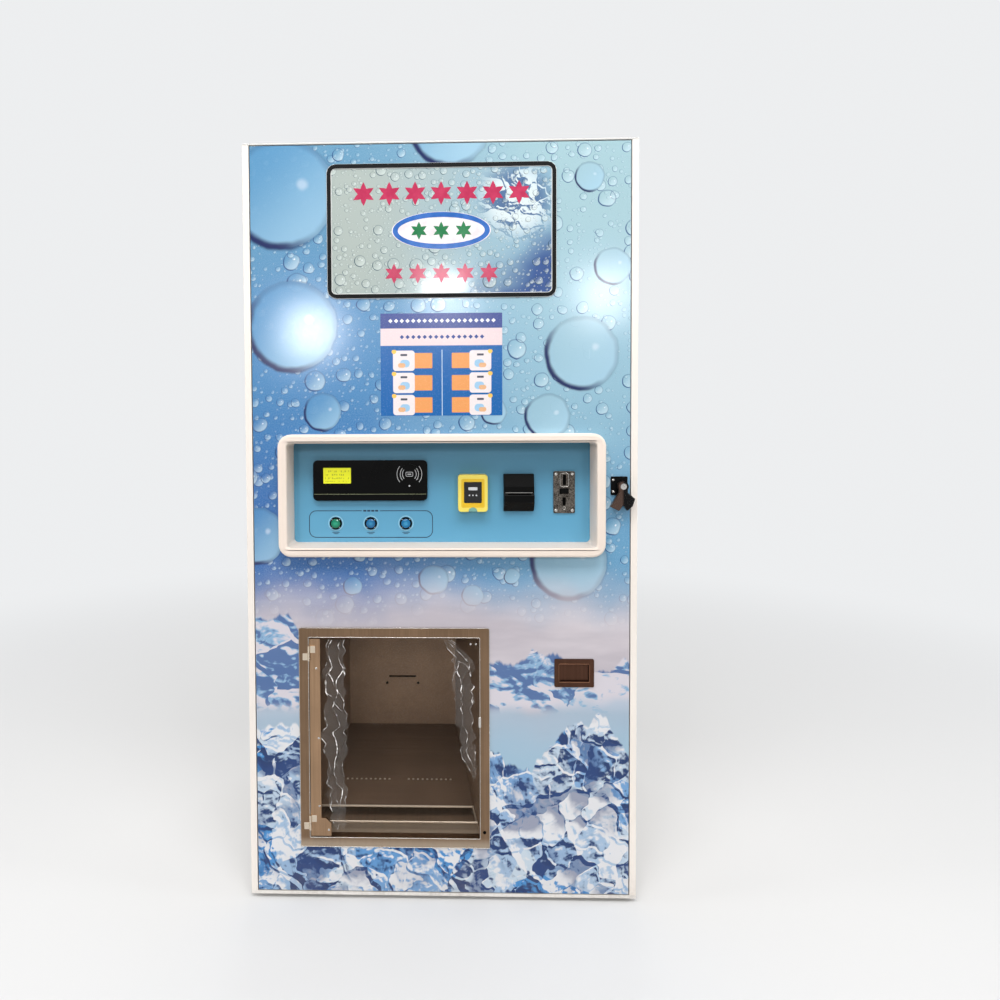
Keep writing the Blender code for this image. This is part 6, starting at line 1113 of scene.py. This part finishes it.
for below_top, half_width, tint in LOZENGE_ROWS:
    in_band = (abs(up - (top - below_top)) + in_lozenge).step(0.0064, 0.0058)
    colour = (in_band * from_middle.step(half_width, half_width - 0.001)).mix(colour, tint)
paper = guide.place.noise(300.0, 3.0, 0.6)
guide.set(Base_Color=colour, Roughness=paper.step(0.2, 0.8, 0.20, 0.30))
guide.bump(paper, 0.00002)
thin_plate("guide_sticker", pill(*STICKER, *STICKER_SIZE, 0.0012), skin_face, SHEET, guide, "window_print")
print("sticker:", STICKER_SIZE)

# %% [markdown]
# The payment panel carries screen printing: a dark line round the three keys, white
# ticks on each key's collar, and white waves on both sides of the card reader's pad.
# Printing is a film of ink, so each mark is a flat bead of a few tenths of a millimetre.
# Drawn as pieces, the marks stay sharp from any distance.

# %% Printed lines, ticks and waves on the panel
HEADING_HALF, TICK_WAY = 0.026, 0.0158
panel_face, collar_face = panel_low[1], place_of("button_block")[2][1]
keys = {key: place_of(key)[0][[0, 2]] for key in lenses}
keys_x, keys_z = keys["button_middle"]
path, outward = (np.roll(row, -7, axis=0) for row in rounded_loop((keys_x, keys_z - 0.0025), (0.360, 0.078), 0.020))
head_z = path[0, 1]
path = np.vstack([(keys_x - HEADING_HALF, head_z), path, (keys_x + HEADING_HALF, head_z)])
outward = np.vstack([(0.0, 1.0), outward, (0.0, 1.0)])
bead("key_outline", (path, outward), flat_band(0.0022), panel_face, line_ink, "fascia_blue", closed=False)
for key, middle in keys.items():
    bead(key + "_halo", ring_loop(middle, 0.0210), flat_band(0.0030), panel_face, halo_ink, "fascia_blue")
slanted = ring_loop((0.0, 0.0), TICK_WAY, 45.0, 270.0, 4)[0]
for key, middle in keys.items():
    mark(key + "_ticks", [pill(*(middle + way), 0.0030, 0.0014, 0.0005) for way in slanted], collar_face)
rows = ((-0.0270, 0.022), (-0.0305, 0.014))
labels = [pill(x, z + lower, width, 0.0016, 0.0006) for x, z in keys.values() for lower, width in rows]
mark("key_label_bars", labels, panel_face, line_ink, "fascia_blue")
bars = [pill(keys_x + x, head_z, 0.0092, 0.0050, 0.001) for x in (-0.0174, -0.0058, 0.0058, 0.0174)]
mark("key_heading_bars", bars, panel_face, line_ink, "fascia_blue")
print("collar face at y", round(float(collar_face), 4))

# %% [markdown]
# The pad is where a card is held. Three waves open to each side of it, and a small card
# is drawn in its middle.

# %% Marks on the card reader
PAD = (-0.0900, 1.2188)
PAD_FACE, HOUSING_FACE, LIP_FACE = -0.4513, -0.4498, -0.4548
for side, start in (("left", 140.0), ("right", -40.0)):
    for radius, face in ((0.0200, PAD_FACE), (0.0265, PAD_FACE), (0.0360, HOUSING_FACE)):
        name, arc = f"reader_wave_{side}_{round(radius * 1000)}", ring_loop(PAD, radius, start, 80.0, 20)
        bead(name, arc, flat_band(0.0016), face, pale_ink, "black_plastic", closed=False)
card = rounded_loop(PAD, (0.0200, 0.0120), 0.0025, 4)
bead("reader_card_mark", card, flat_band(0.0014), PAD_FACE, pale_ink, "black_plastic")
mark("reader_card_stripe", pill(*PAD, 0.0110, 0.0026, 0.0008), PAD_FACE)
mark("reader_dot", ring_loop((PAD[0], 1.1845), 0.0024, steps=16)[0], HOUSING_FACE)
# A painted highlight, an olive line, runs along the reader's lower lip.
line = pill(place_of("reader_housing")[0][0], 1.1615, 0.325, 0.0018, 0.0006)
thin_plate("reader_trim_line", line, LIP_FACE, FILM, olive, "black_plastic")
print("pad at", PAD)

# %% [markdown]
# The yellow card terminal has a black face with a white bar and three white dots. The
# bill unit has a painted highlight, a fine bright line, along its slot. The coin plate is
# riveted at its four corners, and has a bright rim round its slot. These are small, but
# they are what a hand and an eye look for, so they are modelled.

# %% Faces of the card, bill and coin units
POCKET_FACE, HOOD_FACE, COIN_FACE, BOSS_FACE = -0.4658, -0.4618, -0.4418, -0.4458
GLASS = (0.0009, 0.0003)
x, z = terminal_mid[[0, 2]]
glass_face = POCKET_FACE - GLASS[0]
glass = pill(x, z + 0.0035, 0.0505, 0.0630, 0.003, 6)
dots = [ring_loop((x + way, z - 0.0060), 0.0022, steps=16)[0] for way in (-0.010, 0.0, 0.010)]
thin_plate("terminal_face", glass, POCKET_FACE, GLASS, face_black, "black_plastic")
mark("terminal_bar", pill(x, z + 0.0130, 0.0260, 0.0090, 0.002, 3), glass_face)
mark("terminal_dots", dots, glass_face)

x, z = place_of("bill_acceptor")[0][[0, 2]]
# A painted highlight: a fine bright line along the bill unit's slot.
line = pill(x, z + 0.0008, 0.0780, 0.0011, 0.0004)
thin_plate("bill_slot_line", line, HOOD_FACE, SHEET, bright_steel, "black_plastic")

x, z = place_of("coin_acceptor")[0][[0, 2]]
corners = [(x + right * 0.0235, COIN_FACE, z + high * 0.0525) for right in (-1, 1) for high in (-1, 1)]
boss, refund = rounded_loop((x, z + 0.036), (0.0250, 0.0390), 0.006), ring_loop((x, z - 0.0460), 0.0042, steps=32)
entry, lower = pill(x, z + 0.036, 0.0095, 0.0310, 0.0030, 4), pill(x, z - 0.0265, 0.0085, 0.0230, 0.0030, 4)
heads("coin_plate_rivets", corners, 0.0046, 0.0016, bright_steel, "bright_steel", recess=0.0)
bead("coin_boss_wear", boss, half_round(0.0016, 0.0006), BOSS_FACE + 0.0002, bright_steel, "bright_steel")
thin_plate("coin_entry_shade", entry, BOSS_FACE, FILM, dark_steel, "black_plastic")
thin_plate("coin_lower_shade", lower, COIN_FACE, FILM, dark_steel, "black_plastic")
bead("coin_refund_ring", refund, half_round(0.0016, 0.0010), COIN_FACE, bright_steel, "bright_steel")
print("coin plate at", (round(float(x), 4), round(float(z), 4)))

# %% [markdown]
# The lock's plate is held by two screws, and its bright barrel stands proud of it. The
# bay's frame is folded from stainless sheet, and painted highlights, beads of bright steel,
# run along its inner and outer edges. Its hinge leaves are riveted, one screw holds the
# frame's lower corner, and a small catch keeps the pane shut.

# %% Screws, rivets and bright edges
LOCK_PLATE, LOCK_Z = -0.5118, 1.190
BAY_OPEN, BAY_OPEN_SIZE = (-0.1344, 0.4705), np.array([0.484, 0.576])
RIVETS = ((-0.3560, 0.671), (-0.3500, 0.470), (-0.3500, 0.2725), (-0.3235, 0.2035))
lock_screws = [(place_of("lock_housing")[2][0] + 0.0065, LOCK_PLATE, LOCK_Z + way) for way in (-0.0165, 0.0165)]
barrel, handle_face = ring_loop((0.505, LOCK_Z), 0.0085, steps=32)[0], place_of("lock_handle")[2][1]
heads("lock_plate_screws", lock_screws, 0.0036, 0.0016, bright_steel, "bright_steel")
thin_plate("lock_cylinder_face", barrel, handle_face, FILM, bright_steel, "bright_steel", "lock")

bay_xz, (_, _, pane_low, pane_high) = bay_mid[[0, 2]], place_of("bay_pane")
inner = rounded_loop(BAY_OPEN, BAY_OPEN_SIZE + 0.0030, 0.0025, 3)
outer = rounded_loop(bay_xz, bay_size[[0, 2]] - 0.0016, 0.0020, 3)
rivets, studs = [(x, FRAME_FACE, z) for x, z in RIVETS], [(x, pane_low[1], 0.7400) for x in (0.0836, 0.0985)]
# Painted highlights along the bay frame's folded inner and outer edges.
bead("bay_inner_edge", inner, half_round(0.0018, 0.0009), FRAME_FACE, bright_steel, "stainless")
bead("bay_outer_edge", outer, half_round(0.0014, 0.0006), FRAME_FACE, bright_steel, "stainless")
heads("bay_frame_screw", [(0.1215, FRAME_FACE, 0.200)], 0.0046, 0.0020, dark_steel, "stainless")
heads("bay_stile_rivets", rivets, 0.0034, 0.0018, bright_steel, "stainless", "bay_door", recess=0.0)
heads("bay_pane_studs", studs, 0.0032, 0.0018, bright_steel, "stainless", "bay_door", recess=0.0)
catch = pill(0.1085, 0.518, 0.007, 0.030, 0.002, 4)
thin_plate("bay_door_catch", catch, FRAME_FACE, (0.0022, 0.0006), bright_steel, "stainless")

return_mid, _, return_low, _ = place_of("coin_return")
edge = rounded_loop(return_mid[[0, 2]], (0.0860, 0.0520), 0.0030, 4)
# A painted highlight along the coin return's inner edge.
bead("coin_return_edge", edge, half_round(0.0016, 0.0008), return_low[1], return_bright, "stainless")
print("handle front at y", round(float(handle_face), 4), "frame face at y", FRAME_FACE)

# %% [markdown]
# Deep in the bay, the back wall has a slot that lets the drop sensor look in, between
# two screws. Light from the street reaches it through the pane, so it is seen. The slot's
# opening is drawn as a thin dark plate, which is painted shade.

# %% The slot in the bay's back wall
SKIN_FRONT, BAY_DEPTH = -0.5075, 0.42
wall_face = SKIN_FRONT + BAY_DEPTH
slot_loop = rounded_loop((bay_mid[0], 0.498), (0.094, 0.0075), 0.0035, 4)
back_screws = [(bay_mid[0] + way, wall_face, 0.475) for way in (-0.053, 0.053)]
# Painted shade: the slot's opening is a thin dark plate on the wall.
thin_plate("bay_back_slot", slot_loop[0], wall_face, SHEET, dark_steel, "stainless")
bead("bay_back_slot_rim", slot_loop, half_round(0.0016, 0.0010), wall_face, bay_steel, "stainless")
heads("bay_back_screws", back_screws, 0.0045, 0.0020, dark_steel, "stainless")
print("back wall at y", round(wall_face, 4))

# %% [markdown]
# Two strips of the pane's protective film were never pulled off. The film is a tenth of
# a millimetre thick, too thin for a solid, and it has crinkled into soft folds. Each
# strip is one grid bent into wandering pleats. It stays behind the pane, and swings with
# it.

# %% Crinkled film behind the pane
FOLD_DEPTH, FILM_THICKNESS, BEHIND_PANE = 0.0125, 0.00012, 0.0006
STRIPS = (
    ((-0.296, -0.302, -0.303, -0.306, -0.303, -0.311, -0.298), (0.030, 0.062, 0.050, 0.075, 0.060, 0.064, 0.052),
     0.196, 0.748, 4),
    ((0.096, 0.080, 0.070, 0.064, 0.065, 0.066, 0.020), (0.010, 0.042, 0.048, 0.056, 0.060, 0.062, 0.030),
     0.344, 0.748, 9),
)


def crinkled_strip(middles, widths, low, high, seed):
    """A thin closed ribbon, whose middle and width follow the given values from foot to head. Random straight
    pieces make its two outlines ragged and its pleats, rows of absolute sines, zigzag. A second row of pleats
    crosses them in places. The fourth number of a point is high along the creases and the outlines, where the
    film's finish paints its highlights."""
    along, across = np.linspace(0, 1, 241)[:, None], np.linspace(0, 1, 49)[None]
    draw = np.random.default_rng(seed)

    def ragged(knots, least, most):
        """Random values at even knots, joined by straight pieces."""
        return np.interp(along, np.linspace(0, 1, knots), draw.uniform(least, most, knots))

    knots = np.linspace(0, 1, len(middles))
    middle, width = np.interp(along, knots, middles), np.interp(along, knots, widths)
    x = middle + width * ((across - 1) * ragged(34, 0.30, 0.58) + across * ragged(34, 0.30, 0.58))
    pleat = np.abs(np.sin(math.pi * (1.8 * across + ragged(15, -0.30, 0.30) + ragged(7, -0.5, 0.5))))
    cross = np.abs(np.sin(math.pi * (9.0 * along + 1.6 * across + ragged(12, -0.6, 0.6))))
    here = ragged(16, -0.6, 1.2).clip(0, 1)
    side = np.minimum(across, 1 - across)
    crest = np.maximum((1 - cross * 4.5) * here, (0.9 - side * 18.0) * ragged(28, 0.0, 1.0))
    crest = np.maximum(1 - pleat * 5.5, crest)
    y = pane_high[1] + BEHIND_PANE + FOLD_DEPTH * (0.70 * pleat + 0.30 * cross * here)
    back = y + FILM_THICKNESS * np.minimum(side * 8, np.minimum(along, 1 - along) * 20).clip(0, 1)
    z = np.broadcast_to(low + along * (high - low), x.shape)
    sides = ((x, x), (y, back), (z, z), (crest, crest))
    return np.stack([np.concatenate([front, rear[:, ::-1]], 1) for front, rear in sides], -1)


grids = np.stack([crinkled_strip(*strip) for strip in STRIPS])
points, crest = grids[..., :3], grids[..., 3]
strips = surface("protective_film", points, film, "clear_film", "bay_door", sharp=180.0, crest=crest)
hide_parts("door_film")
print("film faces:", len(strips.data.polygons))

# %% [markdown]
# The machine stands on a plain pale floor. The sky round it is pale where the camera,
# a reflection or a clear pane looks at it, and only a soft grey where it lights the
# machine, so that paint renders at the brightness it was given. Wide soft lamps behind
# the camera do the rest. Their glows show in the glossy vinyl, as street lamps do.

# %% The floor
SKY_LIGHT, BACKGROUND = 0.50, ink(0.93, 0.935, 0.94)


def seen_by(tree, *rays):
    """1 where the ray is of one of these kinds, such as a look from the camera."""
    seen, *others = [Out(node(tree, "LightPath").outputs[f"Is {ray} Ray"]) for ray in rays]
    for other in others:
        seen = calc("MAXIMUM", other, seen)
    return seen


floor_mesh = bpy.data.meshes.new("studio_floor")
turn = np.arange(48) * math.tau / 48
floor_mesh.from_pydata([(math.cos(a) * 30, math.sin(a) * 30, 0.0) for a in turn], [], [range(48)])
floor = bpy.data.objects.new("studio_floor", floor_mesh)
bpy.context.scene.collection.objects.link(floor)
floor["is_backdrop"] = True
ground = Finish("studio_floor", Roughness=0.7, Specular_IOR_Level=0.0, Emission_Color=BACKGROUND)
far_share = calc("LENGTH", ground.place).step(1.0, 4.5)
ground.set(Base_Color=far_share.mix(ink(0.86, 0.86, 0.86), ink(0.0, 0.0, 0.0)))
ground.set(Emission_Strength=seen_by(ground.tree, "Transmission", "Glossy", "Camera") * far_share)
floor_mesh.materials.append(ground.material)
print("floor:", floor.name)

# %% [markdown]
# The sky is one plain light. A picture of a real sky could light the machine too, but
# its sun and clouds would show in the vinyl.

# %% The sky
sky = bpy.data.worlds.new("studio_sky")
bpy.context.scene.world = sky
sky.use_nodes = True
sky.node_tree.nodes.clear()
seen = seen_by(sky.node_tree, "Transmission", "Camera")
values = (seen.mix(ink(0.90, 0.90, 0.90), BACKGROUND), seen * (1.0 - SKY_LIGHT) + SKY_LIGHT)
backing = node(sky.node_tree, "Background", values)
node(sky.node_tree, "OutputWorld", [Out(backing.outputs[0])])
print("sky:", sky.name)

# %% [markdown]
# Each lamp is a soft sheet of light, turned from its place towards its target.

# %% Soft lamps
LAMPS = (
    ("glow_left", (-0.93, -3.65, 1.97), (-0.2, 0.0, 1.1), (0.30, 0.30), 12.0),
    ("glow_middle", (0.02, -3.65, 2.20), (0.0, 0.0, 1.1), (0.30, 0.30), 9.0),
    ("glow_right", (1.12, -3.65, 2.20), (0.2, 0.0, 1.1), (0.30, 0.30), 9.0),
    ("ceiling_front", (0.0, -2.6, 4.2), (0.0, -0.3, 1.0), (3.6, 1.6), 115.0),
    ("ceiling_back", (0.0, 4.0, 3.4), (0.0, 0.0, 1.0), (3.6, 1.6), 75.0),
    ("side_left", (-4.0, -0.6, 2.6), (0.0, 0.0, 1.0), (1.8, 2.4), 58.0),
    ("side_right", (4.0, -0.6, 2.6), (0.0, 0.0, 1.0), (1.8, 2.4), 58.0),
)
for name, place, target, size, watts in LAMPS:
    lamp = bpy.data.lights.new(name, "AREA")
    lamp.shape, lamp.energy = "RECTANGLE", watts
    lamp.size, lamp.size_y = size
    held = bpy.data.objects.new(name, lamp)
    aim = (Vector(target) - Vector(place)).to_track_quat("-Z", "Y")
    held.matrix_world = Matrix.Translation(place) @ aim.to_matrix().to_4x4()
    bpy.context.scene.collection.objects.link(held)
print("lamps:", [row[0] for row in LAMPS])

# %% [markdown]
# The camera stands where the photographer stood: about two metres in front of the door
# at eye height, turned a little to the left. The small shift frames the machine as in
# the photograph without tilting the camera.

# %% The photographer's camera
STAND, TURN, TILT, ROLL = (0.013, -2.601, 1.400), 1.702, 1.919, -0.302
view = bpy.data.cameras.new("photographer")
view.sensor_width, view.lens, view.clip_end = 36.0, 26.86, 100.0
view.shift_x, view.shift_y = 0.0773, -0.0636
stand = bpy.data.objects.new("photographer", view)
turned = Matrix.Rotation(math.radians(TURN), 4, "Z") @ Matrix.Rotation(math.radians(90 - TILT), 4, "X")
stand.matrix_world = Matrix.Translation(STAND) @ (turned @ Matrix.Rotation(math.radians(ROLL), 4, "Z"))
bpy.context.scene.collection.objects.link(stand)
bpy.context.scene.camera = stand
bpy.context.scene.view_settings.view_transform = "Standard"
print("camera at", STAND, "lens", round(view.lens, 2))

# %% [markdown]
# The dressed machine must fill the same box as the solids, because shelves and rooms
# are planned from that box. Both boxes are printed, one after the other.

# %% Print the two boxes and finish
dressed_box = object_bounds()
boxes = {"cad": [list(map(float, corner)) for corner in cad_box], "dressed": [list(map(float, corner)) for corner in dressed_box]}
print("box of the solids:", boxes["cad"])
print("box of the dressed machine:", boxes["dressed"])
